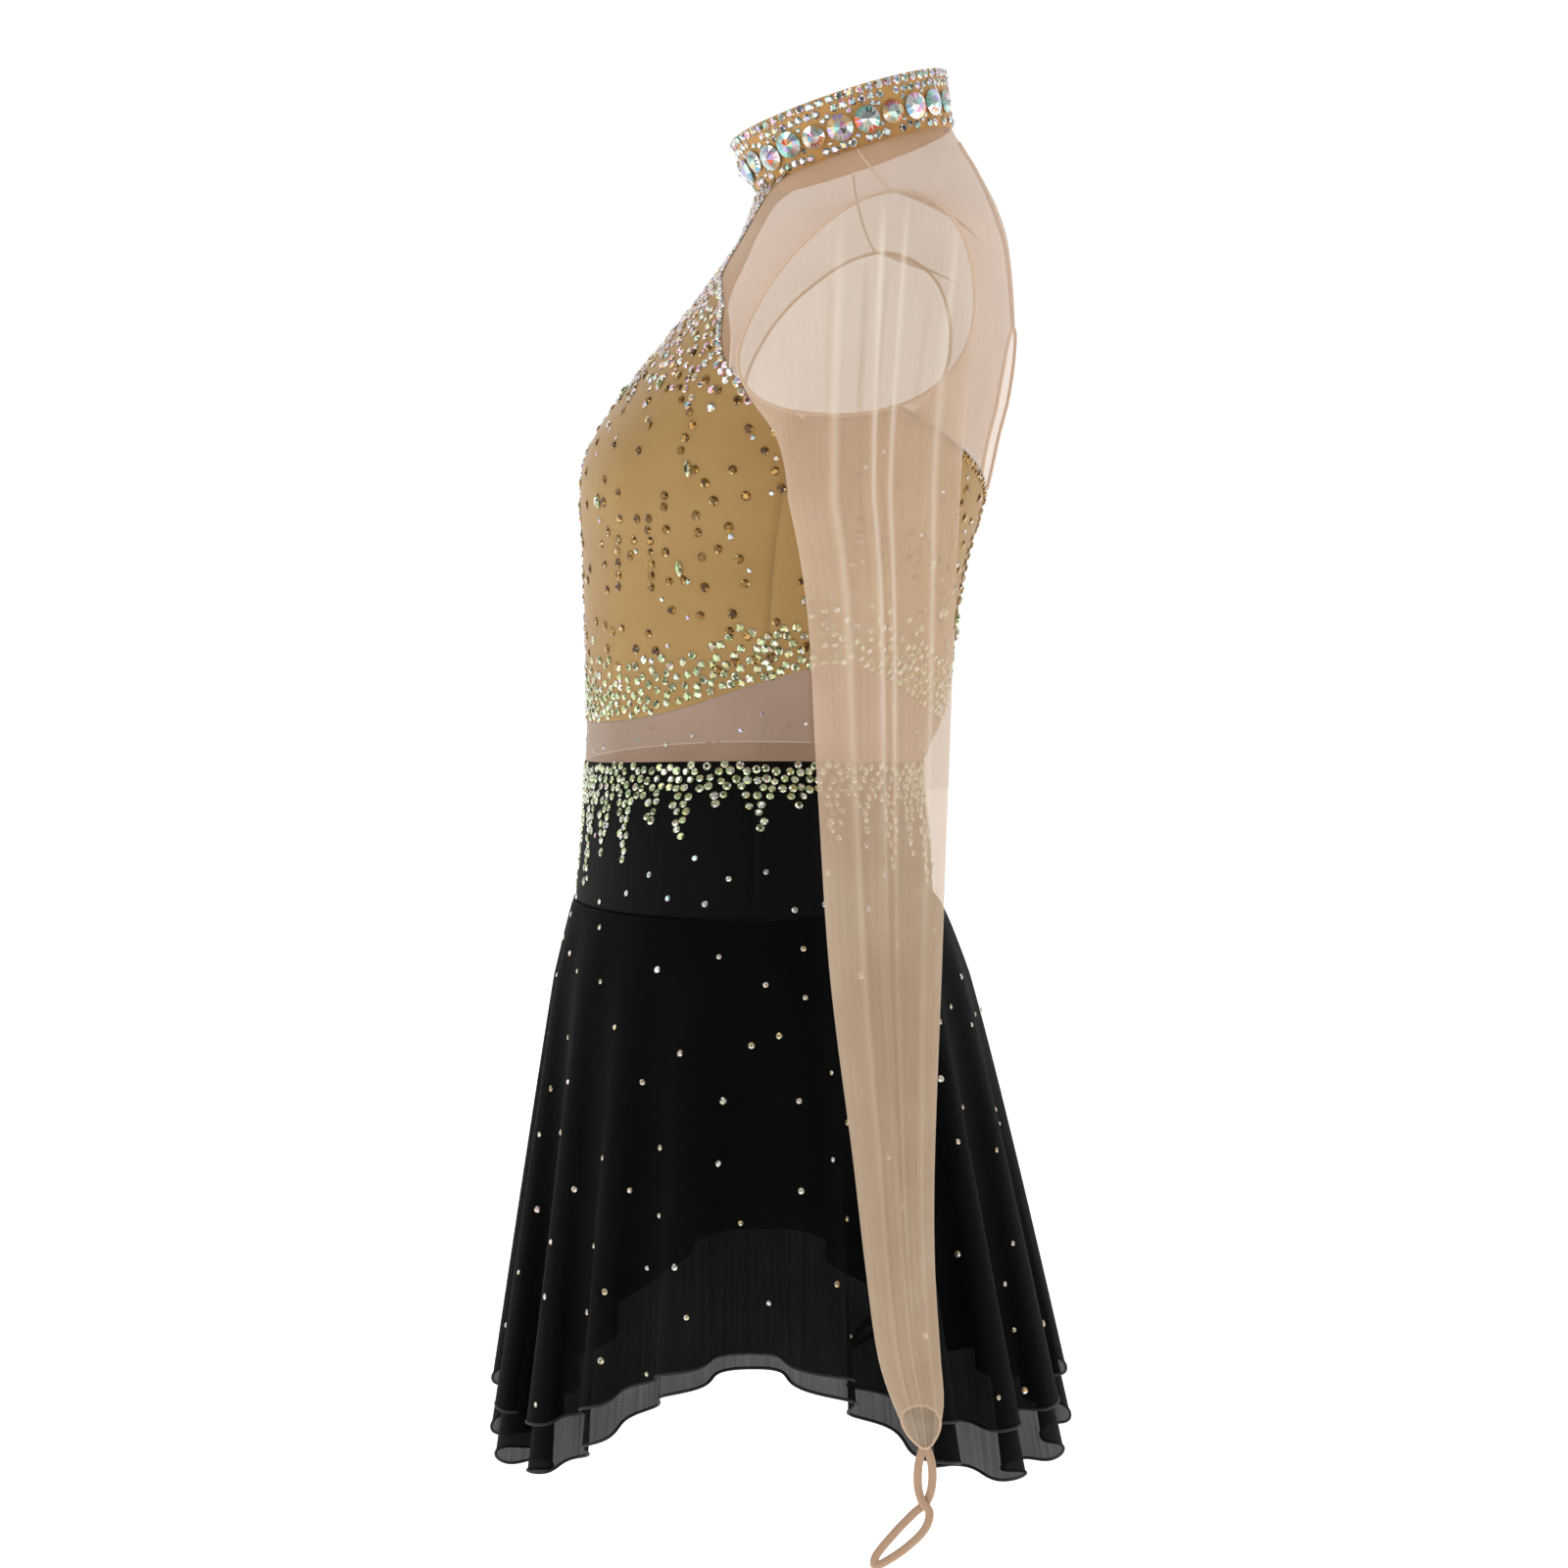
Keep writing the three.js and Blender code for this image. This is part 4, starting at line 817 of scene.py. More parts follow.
def sleeve_at(s, t):
    """From the armhole's edge, a cubic curve that leaves the body outwards and arrives in the hanging tube;
    below that the tube, down to a cuff that is lowest on its outer face. t runs down."""
    turn = s * 2 * np.pi
    up = np.sin(turn)
    cuff_drop = SLEEVE_DROP - CUFF_SLANT * (0.5 - 0.5 * up)
    low = folded_tube(turn, mix(CAP_DROP, cuff_drop, np.clip((t - CAP_SHARE) / (1 - CAP_SHARE), 0, 1)))
    angle = ARMHOLE["angle"] - ARMHOLE["wide"] * np.cos(turn)
    height = ARMHOLE["height"] + ARMHOLE["tall"] * up
    edge = body(angle, height)
    normal = np.cross(body(angle + 1, height) - edge, body(angle, height + 1) - edge)
    edge = edge + SEAM_ROOM * normal / np.linalg.norm(normal, axis=-1, keepdims=True)
    end = folded_tube(turn, np.full_like(turn, CAP_DROP))
    leave = np.stack([26 + 36 * np.maximum(0, up), 0 * up, -18 - 26 * np.maximum(0, -up)], -1)
    arrive = np.stack([4 + 0 * up, 0 * up, -60 - 110 * np.maximum(0, up)], -1)
    u = np.clip(t / CAP_SHARE, 0, 1)[..., None]
    cap = (
        edge * (2 * u**3 - 3 * u**2 + 1)
        + end * (3 * u**2 - 2 * u**3)
        + leave * (u**3 - 2 * u**2 + u)
        + arrive * (u**3 - u**2)
    )
    return np.where(u < 1, cap, low)


# Crease lines, where the sleeve's cloth lies closer and a highlight is painted along them.
CREASES = (  # place across at the shoulder and at the cuff (-1 back to 1 front), width, depth
    (0.1, -0.12, 0.035, 1.0),
    (-0.16, -0.2, 0.03, 0.8),
    (0.52, 0.34, 0.05, 0.45),
    (-0.72, -0.66, 0.04, 0.5),
)


def sleeve_crease_highlights(turn, down):
    """The crease share, which closes the cloth and paints a highlight along the creases: on the outer face,
    bell curves across along the lines where the sleeve was folded, faint on the inner face and below the
    elbow."""
    across, share = np.cos(turn), np.zeros_like(turn)
    for top, cuff, width, depth in CREASES:
        middle = mix(top, cuff, down) + 0.012 * np.sin(9 * down + 20 * top)
        share = share + depth * np.exp(-(((across - middle) / width) ** 2))
    share = np.where(np.sin(turn) > 0, share, 0.2 * share)
    return share * ease(down / 0.12) * mix(1, 0.2, ease((down - 0.4) / 0.3))


for side_name, side in SIDES:
    s, t = grid(320, 130)
    round_share = 1 - s if side > 0 else s
    points = mirrored(sleeve_at(round_share, 1 - t), side)
    sleeve = cloth_piece(
        f"{side_name}_sleeve_mesh", points, sleeve_mesh, round_=True, body_name=None
    )
    # The crease share is stored on the mesh; the sleeve material paints a highlight from it.
    crease_and_highlight_share = sleeve_crease_highlights(round_share * 2 * np.pi, 1 - t)[:, :-1]
    crease_and_highlight = sleeve.data.attributes.new("crease_and_highlight", "FLOAT", "POINT")
    crease_and_highlight.data.foreach_set("value", crease_and_highlight_share.reshape(-1).astype(np.float32))
    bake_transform(sleeve)
    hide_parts(f"{side_name}_top_sleeve", f"{side_name}_under_sleeve")
    edge = {"closed": True, "slot": "nude_mesh"}
    seam_piece(f"{side_name}_armhole_seam", points[-1], points[-1] - points[-3], 1.1, nude_thread, **edge)
    cuff = seam_piece(
        f"{side_name}_cuff_edge", points[0], points[0] - points[2], 0.7, nude_thread,
        body_name=f"sleeve_{side_name}", **edge,
    )  # fmt: skip

# ------------------------------------------------------------------------------
# Finger loops: one narrow folded strip of the powernet sewn to the cuff's point. Its two strands run down
# side by side, cross, and open into the flat loop that goes over the middle finger.
# ------------------------------------------------------------------------------
CUFF = np.array([257, 40, SHOULDER[2] - SLEEVE_DROP])
LOOP_PATH = np.array([  # across the sleeve, backwards and up from the cuff's point, in millimetres
    (0, -1.4, -1.3), (0, -3.4, -10), (0.2, -3.6, -21), (1.0, -1.4, -29), (1.8, 2.6, -35), (2.4, 0, -44),
    (2.8, -10, -54), (3, -22, -62), (3, -27, -63.5), (2.6, -26, -58), (1.6, -16, -46), (0.2, -6, -36),
    (-1.0, 1.0, -30), (-0.4, 3.9, -21), (0, 3.9, -10), (0, 1.4, -1.3),
])  # fmt: skip
# The strip is the mesh folded into several layers, so it is closed and darker than one layer.
loop_tape, _, _ = new_material(
    "nude_loop_tape", Base_Color=linear("#bd9a7d"), Roughness=0.8, Sheen_Weight=0.2
)
closed_path = np.concatenate([LOOP_PATH, LOOP_PATH[:1]])
knots = np.concatenate([[0], np.cumsum(np.linalg.norm(np.diff(closed_path, axis=0), axis=1) ** 0.5)])
steps = np.linspace(0, knots[-1], 121)
loop_line = CUFF + np.stack([through(knots, closed_path[:, k], steps) for k in range(3)], -1)
for side_name, side in SIDES:
    sideways = np.tile([1.0, 0, 0], (len(steps), 1))
    loop = seam_piece(
        f"{side_name}_finger_loop_strip", mirrored(loop_line, side), sideways, 2.3, loop_tape, closed=True,
        slot="nude_mesh", body_name=f"loop_{side_name}", flat=0.4,
    )  # fmt: skip
    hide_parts(f"{side_name}_finger_loop")

# ------------------------------------------------------------------------------
# Collar: a stiff standing band of two layers of the gold cloth with a turned upper edge, open at the nape,
# where a flap snaps over an underlap.
# ------------------------------------------------------------------------------
COLLAR_HEIGHT, COLLAR_WALL, COLLAR_FLARE, COLLAR_FOOT = 34, 2.4, 0.1, -0.4
COLLAR_OPENS, COLLAR_CLOSES, FLAP_GAP = 166, 190, 0.5
NECK_FRONT, NECK_BACK = body(0, NECK), body(180, NECK)
NECK_MIDDLE = (NECK_FRONT + NECK_BACK) / 2
NECK_TILT = np.arctan2(NECK_BACK[2] - NECK_FRONT[2], NECK_BACK[1] - NECK_FRONT[1])
COLLAR_AXIS = np.array([0, -np.sin(NECK_TILT), np.cos(NECK_TILT)])
SNAP_ROOM = 3.6
# The collar is the bodice's gold cloth, painted brighter as lit where it faces up; it is drawn smoother, lying
# flat on a stiff inner layer.
collar_knit_painted_lit = knit_cloth("gold_collar_knit_painted_lit", "#d6a566", "#cb985a", 0.5, 0.3)


def collar_at(angle, rise, lift=0.0):
    """A point of the collar: out from the neck's middle along the neck opening's own plane, a little further
    the higher it is, and up the neck's axis."""
    spoke = body(angle, NECK) - NECK_MIDDLE
    length = np.linalg.norm(spoke, axis=-1)
    reach = length * (1 + COLLAR_FLARE * rise / COLLAR_HEIGHT) + lift
    return spoke * (reach / length)[..., None] + NECK_MIDDLE + COLLAR_AXIS * np.asarray(rise)[..., None]


def underlap_lift(angle):
    """The underlap lies behind the flap by the snaps' room, and steps out to the band where it is sewn."""
    step = ease((angle - COLLAR_CLOSES + 3) / 6)
    return -COLLAR_WALL / 2 - mix(SNAP_ROOM, 0.4, step) - 0.6


def no_lift(angle):
    """The band and the flap lie on the collar's own surface."""
    return 0


COLLAR_STRIPS = (  # node, body, first and last angle, lift, wall, cells round, size and area of the flat
    (
        "collar_band", "dress", COLLAR_CLOSES - 360, COLLAR_OPENS, no_lift, COLLAR_WALL, 200,
        (0.4, 0.036), 0.0135,
    ),
    (
        "collar_flap", "flap", COLLAR_OPENS + FLAP_GAP, COLLAR_CLOSES - FLAP_GAP, no_lift, COLLAR_WALL, 20,
        (0.026, 0.036), 0.0009,
    ),
    (
        "collar_underlap", "dress", COLLAR_OPENS + 3, COLLAR_CLOSES + 9, underlap_lift, 1.2, 24,
        (0.034, 0.036), 0.0011,
    ),
)  # fmt: skip
# Each strip is a closed band with rounded upper and lower edges: a row goes down the outside, under, and up
# the inside, and the first and last rows are pressed flat and welded to close the ends.
for node, body_name, first, last, lift, wall, across, flat, area in COLLAR_STRIPS:
    s, t = grid(28, across + 2)
    angle = mix(first, last, np.clip((t * (across + 2) - 1) / across, 0, 1))
    turn = mix(1.5 * np.pi, -0.5 * np.pi, s)
    middle = (COLLAR_FOOT + COLLAR_HEIGHT) / 2
    rise = middle + (COLLAR_HEIGHT - COLLAR_FOOT) / 2 * bent(np.sin(turn), 0.35)
    out = lift(angle) + ((t > 0) & (t < 1)) * wall / 2 * bent(np.cos(turn), 0.6)
    points = collar_at(angle, rise, out)
    strip = cloth_piece(
        f"{node}_cloth", points, collar_knit_painted_lit, round_=True, body_name=body_name
    )
    welded = bmesh.new()
    welded.from_mesh(strip.data)
    bmesh.ops.remove_doubles(welded, verts=welded.verts, dist=0.02 * MM)
    welded.to_mesh(strip.data)
    welded.free()
    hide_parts(node)

# The snaps keep their CAD shapes and get a nickel plate: a warm grey metal, polished but finely scratched.
nickel, tree, surface = new_material("nickel_plate", Base_Color=linear("#c2bfb8"), Metallic=1.0)
where = add_node(tree, "ShaderNodeTexCoord").outputs["Object"]
scratches = add_node(tree, "ShaderNodeTexNoise", {"Vector": where, "Scale": 900.0, "Detail": 4.0})
roughness = {"Value": scratches.outputs["Fac"], "To Min": 0.2, "To Max": 0.42}
polish = add_node(tree, "ShaderNodeMapRange", roughness)
tree.links.new(polish.outputs["Result"], surface.inputs["Roughness"])
for snap in ("upper_snap_socket", "upper_snap_stud", "lower_snap_socket", "lower_snap_stud"):
    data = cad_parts[snap].data
    data.materials.clear()
    data.materials.append(nickel)

# ------------------------------------------------------------------------------
# Stones: flat-backed cut glass with a foil back, glued face up. Clear ones have a rainbow coat, which turns
# their facets green, rose and gold; the bodice's are topaz. Each facet's colour is stored on the mesh; besides
# the stones' own tints, white and near-black facets are painted glints and painted dark reflections, standing
# in for the light the facets catch and miss.
# White facets are painted glints and dark grey ones painted dark reflections; the rest are the coat's tints.
RAINBOW_AND_GLINTS = {  # each facet's colour and how likely it is
    "#ffffff": 0.24, "#d8efe2": 0.1, "#b4dcc4": 0.1, "#f3cfdd": 0.09, "#d3c4f0": 0.09,
    "#f8e4a8": 0.1, "#a5d8dc": 0.06, "#ea9fc0": 0.05, "#7d8a80": 0.09, "#4a4f45": 0.08,
}  # fmt: skip
# The green-gold, topaz and strap palettes likewise hold painted glints in their lightest facets and painted
# dark reflections in their darkest.
GREEN_GOLD_AND_GLINTS = {
    "#ffffff": 0.15, "#e8f2c8": 0.14, "#cfe3a9": 0.13, "#d7d08a": 0.12, "#a9c48f": 0.1,
    "#f4f0dc": 0.08, "#7f8a5c": 0.12, "#c9a6a0": 0.06, "#59603f": 0.1,
}  # fmt: skip
TOPAZ_AND_GLINTS = {
    "#c79c4a": 0.16, "#96691f": 0.22, "#6f4a14": 0.22, "#432a09": 0.2, "#ead6a0": 0.06, "#84601f": 0.14,
}  # fmt: skip
STRAP_RAINBOW_AND_GLINTS = {
    "#ffffff": 0.2, "#f6e2b0": 0.12, "#f0c070": 0.12, "#f3cfdd": 0.1, "#e79ab8": 0.08,
    "#c9e6d2": 0.1, "#cabdf0": 0.06, "#8a6f4a": 0.09, "#5a4a3c": 0.08, "#a5d8dc": 0.05,
}  # fmt: skip


foiled_glass, tree, surface = new_material(
    "foiled_cut_glass", Roughness=0.12, Metallic=0.75, Coat_Weight=0.6, Coat_Roughness=0.03
)
# The base colour is each facet's stored colour, painted glints and painted dark reflections included.
facet_colour_and_glint = add_node(tree, "ShaderNodeAttribute", attribute_name="facet_colour_and_glint", attribute_type="GEOMETRY")
tree.links.new(facet_colour_and_glint.outputs["Color"], surface.inputs["Base Color"])


def brilliant(sides, table, table_height, girdle_height):
    """Points and faces of one stone of radius 1: a base, a girdle, and a crown of triangles up to a table
    that is turned by half a side."""
    turn = np.arange(sides) * 2 * np.pi / sides
    ring = np.stack([np.cos(turn), np.sin(turn)], -1)
    half = np.stack([np.cos(turn + np.pi / sides), np.sin(turn + np.pi / sides)], -1)
    points = np.concatenate([
        np.c_[ring, np.zeros(sides)], np.c_[ring, np.full(sides, girdle_height)],
        np.c_[half * table, np.full(sides, table_height)],
    ])  # fmt: skip
    k = np.arange(sides)
    after = (k + 1) % sides
    quads = np.stack([k, after, sides + after, sides + k], -1).tolist()
    crown = np.stack([sides + k, sides + after, 2 * sides + k], -1).tolist()
    crown += np.stack([sides + after, 2 * sides + after, 2 * sides + k], -1).tolist()
    return points, quads + crown + [(2 * sides + k).tolist(), k[::-1].tolist()]


BRILLIANT = brilliant(8, 0.52, 0.46, 0.14)


def navette_shape():
    """Points and faces of one boat-shaped stone, twice as long as wide."""
    points, faces = brilliant(10, 0.5, 0.5, 0.16)
    pinch = np.abs(points[:, 1])
    points[:, 0] *= 0.5 * (1 - 0.18 * pinch)
    return points, faces


def set_stones(
    name, centres, normals, radii, palette, shape=BRILLIANT, body_name="dress", spin=None, groups=None
):  # fmt: skip
    """One mesh of many stones: the shape scaled to each radius, its axis turned to each normal, with a colour
    drawn from the palette by its share for every facet, or for every group of facets."""
    centres, normals, radii = (np.asarray(a, float) for a in (centres, normals, radii))
    points, faces = shape
    count = len(centres)
    along = np.cross(np.array([0.0, 0.0, 1.0]), normals)
    long = np.linalg.norm(along, axis=1, keepdims=True)
    along = np.where(long > 1e-3, along / np.maximum(long, 1e-9), np.array([1.0, 0, 0]))
    across = np.cross(normals, along)
    turn = rng.uniform(0, 2 * np.pi, count) if spin is None else np.full(count, spin)
    cos, sin = np.cos(turn)[:, None], np.sin(turn)[:, None]
    side, other = cos * along + sin * across, cos * across - sin * along
    placed = centres[:, None] + radii[:, None, None] * (
        points[:, :1] * side[:, None] + points[:, 1:2] * other[:, None] + points[:, 2:] * normals[:, None]
    )
    all_faces = [[v + k * len(points) for v in face] for k in range(count) for face in faces]
    mesh = bpy.data.meshes.new(name)
    mesh.from_pydata((placed.reshape(-1, 3) * MM).tolist(), [], all_faces)
    colours = np.array([linear(code) for code in palette])
    weight = np.array(list(palette.values()))
    weight = weight / np.sum(weight)
    # Every facet's colour is drawn first even where groups then share theirs, so the later stones keep theirs.
    drawn = rng.choice(len(colours), (count, len(faces)), p=weight)
    if groups is not None:
        drawn = rng.choice(len(colours), (count, groups.max() + 1), p=weight)[:, groups]
    drawn = colours[drawn.reshape(-1)]
    drawn[:, :3] *= np.repeat(rng.uniform(0.75, 1.05, count), len(faces))[:, None]
    attribute = mesh.attributes.new("facet_colour_and_glint", "FLOAT_COLOR", "CORNER")
    per_corner = np.repeat(drawn, np.tile([len(face) for face in faces], count), axis=0)
    attribute.data.foreach_set("color", per_corner.reshape(-1).astype(np.float32))
    return new_piece(name, mesh, foiled_glass, body_name)


def apart(points, radii, room=1.02):
    """Which stones to keep, in order, so that none overlaps an earlier one: its distance to each must be at
    least the sum of their radii times the room."""
    cell = 2.1 * room * float(np.max(radii))
    boxes, kept = {}, []
    homes = np.floor(points / cell).astype(int)
    offsets = [(a, b, c) for a in (-1, 0, 1) for b in (-1, 0, 1) for c in (-1, 0, 1)]
    for k, home in enumerate(map(tuple, homes)):
        near = [m for o in offsets for m in boxes.get((home[0] + o[0], home[1] + o[1], home[2] + o[2]), ())]
        away = np.linalg.norm(points[near] - points[k], axis=1) if near else np.array([])
        if near and (away < room * (radii[near] + radii[k])).any():
            continue
        boxes.setdefault(home, []).append(k)
        kept.append(k)
    return np.array(kept, int)


FINE = 241  # points at which a surface is measured


def packed(surface, step):
    """Shares s and t of a hexagonal lattice laid over surface(s, t): rows a little closer than the step, and
    points a step apart along the arc, each other row moved on by half a step."""
    fine = np.linspace(0, 1, FINE)
    rise = np.linalg.norm(np.diff(surface(np.full(FINE, 0.5), fine), axis=0), axis=1).sum()
    shares = []
    for k, t in enumerate(np.arange(0.3 * step, rise, 0.87 * step) / rise):
        row = surface(fine, np.full(FINE, t))
        run = np.concatenate([[0], np.cumsum(np.linalg.norm(np.diff(row, axis=0), axis=1))])
        at = np.arange(step * (0.5 + 0.5 * (k % 2)), run[-1], step)
        shares.append(np.c_[np.interp(at, run, fine), np.full(len(at), t)])
    shares = np.concatenate(shares)
    return shares[:, 0], shares[:, 1], 0.16 * step / rise


def scattered(name, surface, tries, keep, radius, palette, lift=0.1, room=1.02, crowd=False):
    """Stones thrown at random over surface(s, t): each try is kept with the chance that keep gives for its
    point in millimetres, and none overlaps another. A crowd has a loose lattice laid down first, wherever the
    chance is nearly 1."""
    s, t = rng.uniform(0, 1, tries), rng.uniform(0, 1, tries)
    if crowd:
        packed_s, packed_t, loose = packed(surface, 2.04 * np.mean(radius))
        packed_s = packed_s + rng.normal(0, 0.35 * loose, len(packed_s))
        packed_t = packed_t + rng.normal(0, 0.6 * loose, len(packed_t))
        inside = (packed_s > 0) & (packed_s < 1) & (packed_t > 0) & (packed_t < 1)
        packed_s, packed_t = packed_s[inside], packed_t[inside]
        inside = keep(packed_s, packed_t, surface(packed_s, packed_t)) > 0.85
        s, t = np.concatenate([packed_s[inside], s]), np.concatenate([packed_t[inside], t])
    points = surface(s, t)
    radii = rng.uniform(*radius, len(s))
    wanted = rng.uniform(0, 1, len(s)) < keep(s, t, points)
    s, t, points, radii = s[wanted], t[wanted], points[wanted], radii[wanted]
    chosen = apart(points, radii, room)
    s, t, points, radii = s[chosen], t[chosen], points[chosen], radii[chosen]
    normals = outward(surface, s, t)
    return set_stones(name, points + lift * normals, normals, radii, palette)


# --- collar: the large stones, three rows of small ones above and below them, and smaller ones between ---
LARGE_SIDES = 14


def rivoli(n):
    """Points and faces of one pointed round stone of radius 1 with n sides: a girdle, a ring of low points
    and a peak."""
    k = np.arange(n)
    turn, step = k * 2 * np.pi / n, np.pi / n
    outer = np.stack([np.cos(turn), np.sin(turn)], -1)
    inner = 0.52 * np.stack([np.cos(turn + step), np.sin(turn + step)], -1)
    points = np.concatenate([
        np.c_[0.88 * outer, np.zeros(n)], np.c_[outer, np.full(n, 0.2)], np.c_[inner, np.full(n, 0.42)],
        [[0, 0, 0.62]],
    ])  # fmt: skip
    after = (k + 1) % n
    faces = np.stack([k, after, n + after, n + k], -1).tolist()
    faces += np.stack([n + k, n + after, 2 * n + k], -1).tolist()
    faces += np.stack([n + after, 2 * n + after, 2 * n + k], -1).tolist()
    faces += np.stack([2 * n + k, 2 * n + after, np.full(n, 3 * n)], -1).tolist()
    return points, faces + [k[::-1].tolist()]


def collar_normal(angle, rise):
    """The collar's outward direction: the cross product of its steps round and up."""
    around = collar_at(angle + 1, rise) - collar_at(angle - 1, rise)
    up = collar_at(angle, rise + 1) - collar_at(angle, rise)
    normal = np.cross(around, up)
    return normal / np.linalg.norm(normal, axis=-1, keepdims=True)


STONE_RISE, STONE_COUNT = 14, 23
# The large stones' white facets are painted glints and their grey ones painted dark reflections; the rest are
# the coat's tints.
LARGE_RAINBOW_AND_GLINTS = {
    "#ffffff": 0.22, "#d9f3ea": 0.14, "#9fdccf": 0.12, "#c7b6f0": 0.09, "#f3a9c9": 0.08,
    "#ffd9a0": 0.09, "#f0764a": 0.05, "#7fb3d8": 0.05, "#b7c0bd": 0.1, "#6a7472": 0.06,
}  # fmt: skip
# The peak's facets are coloured three or four together, in five sectors, and each ring below has its own.
which = np.arange(LARGE_SIDES)
SECTORS = np.concatenate([which % 3, 3 + which // 2 % 5, 8 + which // 3, 13 + which // 3, [0]])
angles = np.linspace(COLLAR_CLOSES - 360 + 9, COLLAR_OPENS - 9, STONE_COUNT)
rises = STONE_RISE + 1.2 * np.where(np.arange(STONE_COUNT) % 2, 1, -1) * (np.abs(angles) < 70)
large = set_stones(
    "collar_large_stones", collar_at(angles, rises, COLLAR_WALL / 2 + 0.5), collar_normal(angles, rises),
    np.where(np.arange(STONE_COUNT) % 3 == 1, 7.0, 7.9), LARGE_RAINBOW_AND_GLINTS, rivoli(LARGE_SIDES), groups=SECTORS,
)  # fmt: skip
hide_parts(*[f"collar_stone_{k:02d}" for k in range(1, STONE_COUNT + 1)])

COLLAR_ROWS = (  # rise, stones round the collar, smallest and largest radius
    (31.0, 70, 2.6, 2.9),
    (25.6, 76, 2.3, 2.6),
    (3.2, 74, 2.5, 2.8),
)
BETWEEN_RISES = [7.0, 21.5]
LARGE_REACH = 7.6  # how near a small stone may come to a large one's middle
END_ROOM, HINGE_ROOM = 1.5, 3.4  # degrees left bare at a free end, and on each side of the flap's fold
COLLAR_PARTS = (  # which, first and last angle, stones tried between the rows, large stones they keep off
    ("band", "dress", COLLAR_CLOSES - 360 + END_ROOM, COLLAR_OPENS - HINGE_ROOM, 3000, STONE_COUNT),
    ("flap", "flap", COLLAR_OPENS + FLAP_GAP + HINGE_ROOM, COLLAR_CLOSES - FLAP_GAP - END_ROOM, 300, 1),
)
for part_name, part_body, low, high, tries, kept_off in COLLAR_PARTS:
    angle_parts, rise_parts, radius_parts = [], [], []
    for rise, around, small, big in COLLAR_ROWS:
        count = int(around * (high - low) / 360)
        angle_parts.append(np.linspace(low, high, count) + rng.normal(0, 0.15, count))
        rise_parts.append(rise + rng.normal(0, 0.25, count))
        radius_parts.append(rng.uniform(small, big, count))
    # Small stones fill the gaps between the large ones and the rows.
    angle_parts.append(rng.uniform(low, high, tries))
    rise_parts.append(rng.choice(BETWEEN_RISES, tries) + rng.normal(0, 1.3, tries))
    radius_parts.append(rng.uniform(1.5, 2.2, tries))
    angle, height, radii = (np.concatenate(parts) for parts in (angle_parts, rise_parts, radius_parts))
    centres, normals = collar_at(angle, height, COLLAR_WALL / 2 + 0.1), collar_normal(angle, height)
    blocked = collar_at(angles[:kept_off], rises[:kept_off], COLLAR_WALL / 2 if part_name == "band" else 0.0)
    reach = np.concatenate([np.full(kept_off, LARGE_REACH), radii])
    chosen = apart(np.concatenate([blocked, centres]), reach, 1.0)
    chosen = chosen[chosen >= kept_off] - kept_off
    small_name = f"collar_small_stones_{part_name}"
    set_stones(small_name, centres[chosen], normals[chosen], radii[chosen], RAINBOW_AND_GLINTS, body_name=part_body)

# --- halter: crowded on the strap and along the neckline's edge, thinning out over the chest ---
SMALL_RADII = (2.2, 2.7)


def strap_crowd(s, t, points):
    """How likely a stone is: certain on the strap, along the edge and down the centre front, falling away
    down the chest."""
    height, edge = points[:, 2], np.minimum(s, 1 - s)
    strap = ease((height + 118) / 45)
    centre = np.exp(-((points[:, 0] / 13) ** 2)) * 0.9
    border = (edge < 0.035) * (height > -150)
    chest = 0.35 * ease((height + 175) / 80)
    return np.clip(strap + centre + border + chest, 0, 1)


scattered(
    "halter_clear_stones", front_bodice_at, 16000, strap_crowd, SMALL_RADII, STRAP_RAINBOW_AND_GLINTS, room=0.97,
    crowd=True,
)  # fmt: skip
NECKLINE_COUNT, NECKLINE_RADIUS = 30, 2.3
for side_name, side in SIDES:
    height = np.linspace(-148, -30, NECKLINE_COUNT)
    angle = side * (halter_angle(height) - 0.4)
    centres, normals = body(angle, height), body_normal(angle, height)
    radii = np.full(NECKLINE_COUNT, NECKLINE_RADIUS)
    set_stones(f"neckline_stones_{side_name}", centres + 0.5 * normals, normals, radii, RAINBOW_AND_GLINTS)

# --- bodice: topaz stones, some in short upright chains, a few clear ones, and boat-shaped ones ---
NAVETTE_COUNT, NAVETTE_RADIUS = 9, 4.6


def chest_only(s, t, points):
    """Topaz goes below the strap and above the hem's border."""
    height = points[:, 2]
    return ease((-height - 72) / 40) * ease((height + 322) / 12)


def sparsely(s, t, points):
    """The same places, three quarters as likely."""
    return 0.75 * chest_only(s, t, points)


def chains(count, s_range, t_range, step):
    """Short upright runs of four to six stones: their s and t shares."""
    heads_s, heads_t = rng.uniform(*s_range, count), rng.uniform(*t_range, count)
    runs = [np.c_[np.full(n, a) + rng.normal(0, 0.0015, n), b - np.arange(n) * step]
            for a, b, n in zip(heads_s, heads_t, rng.integers(4, 7, count))]  # fmt: skip
    return np.concatenate(runs)


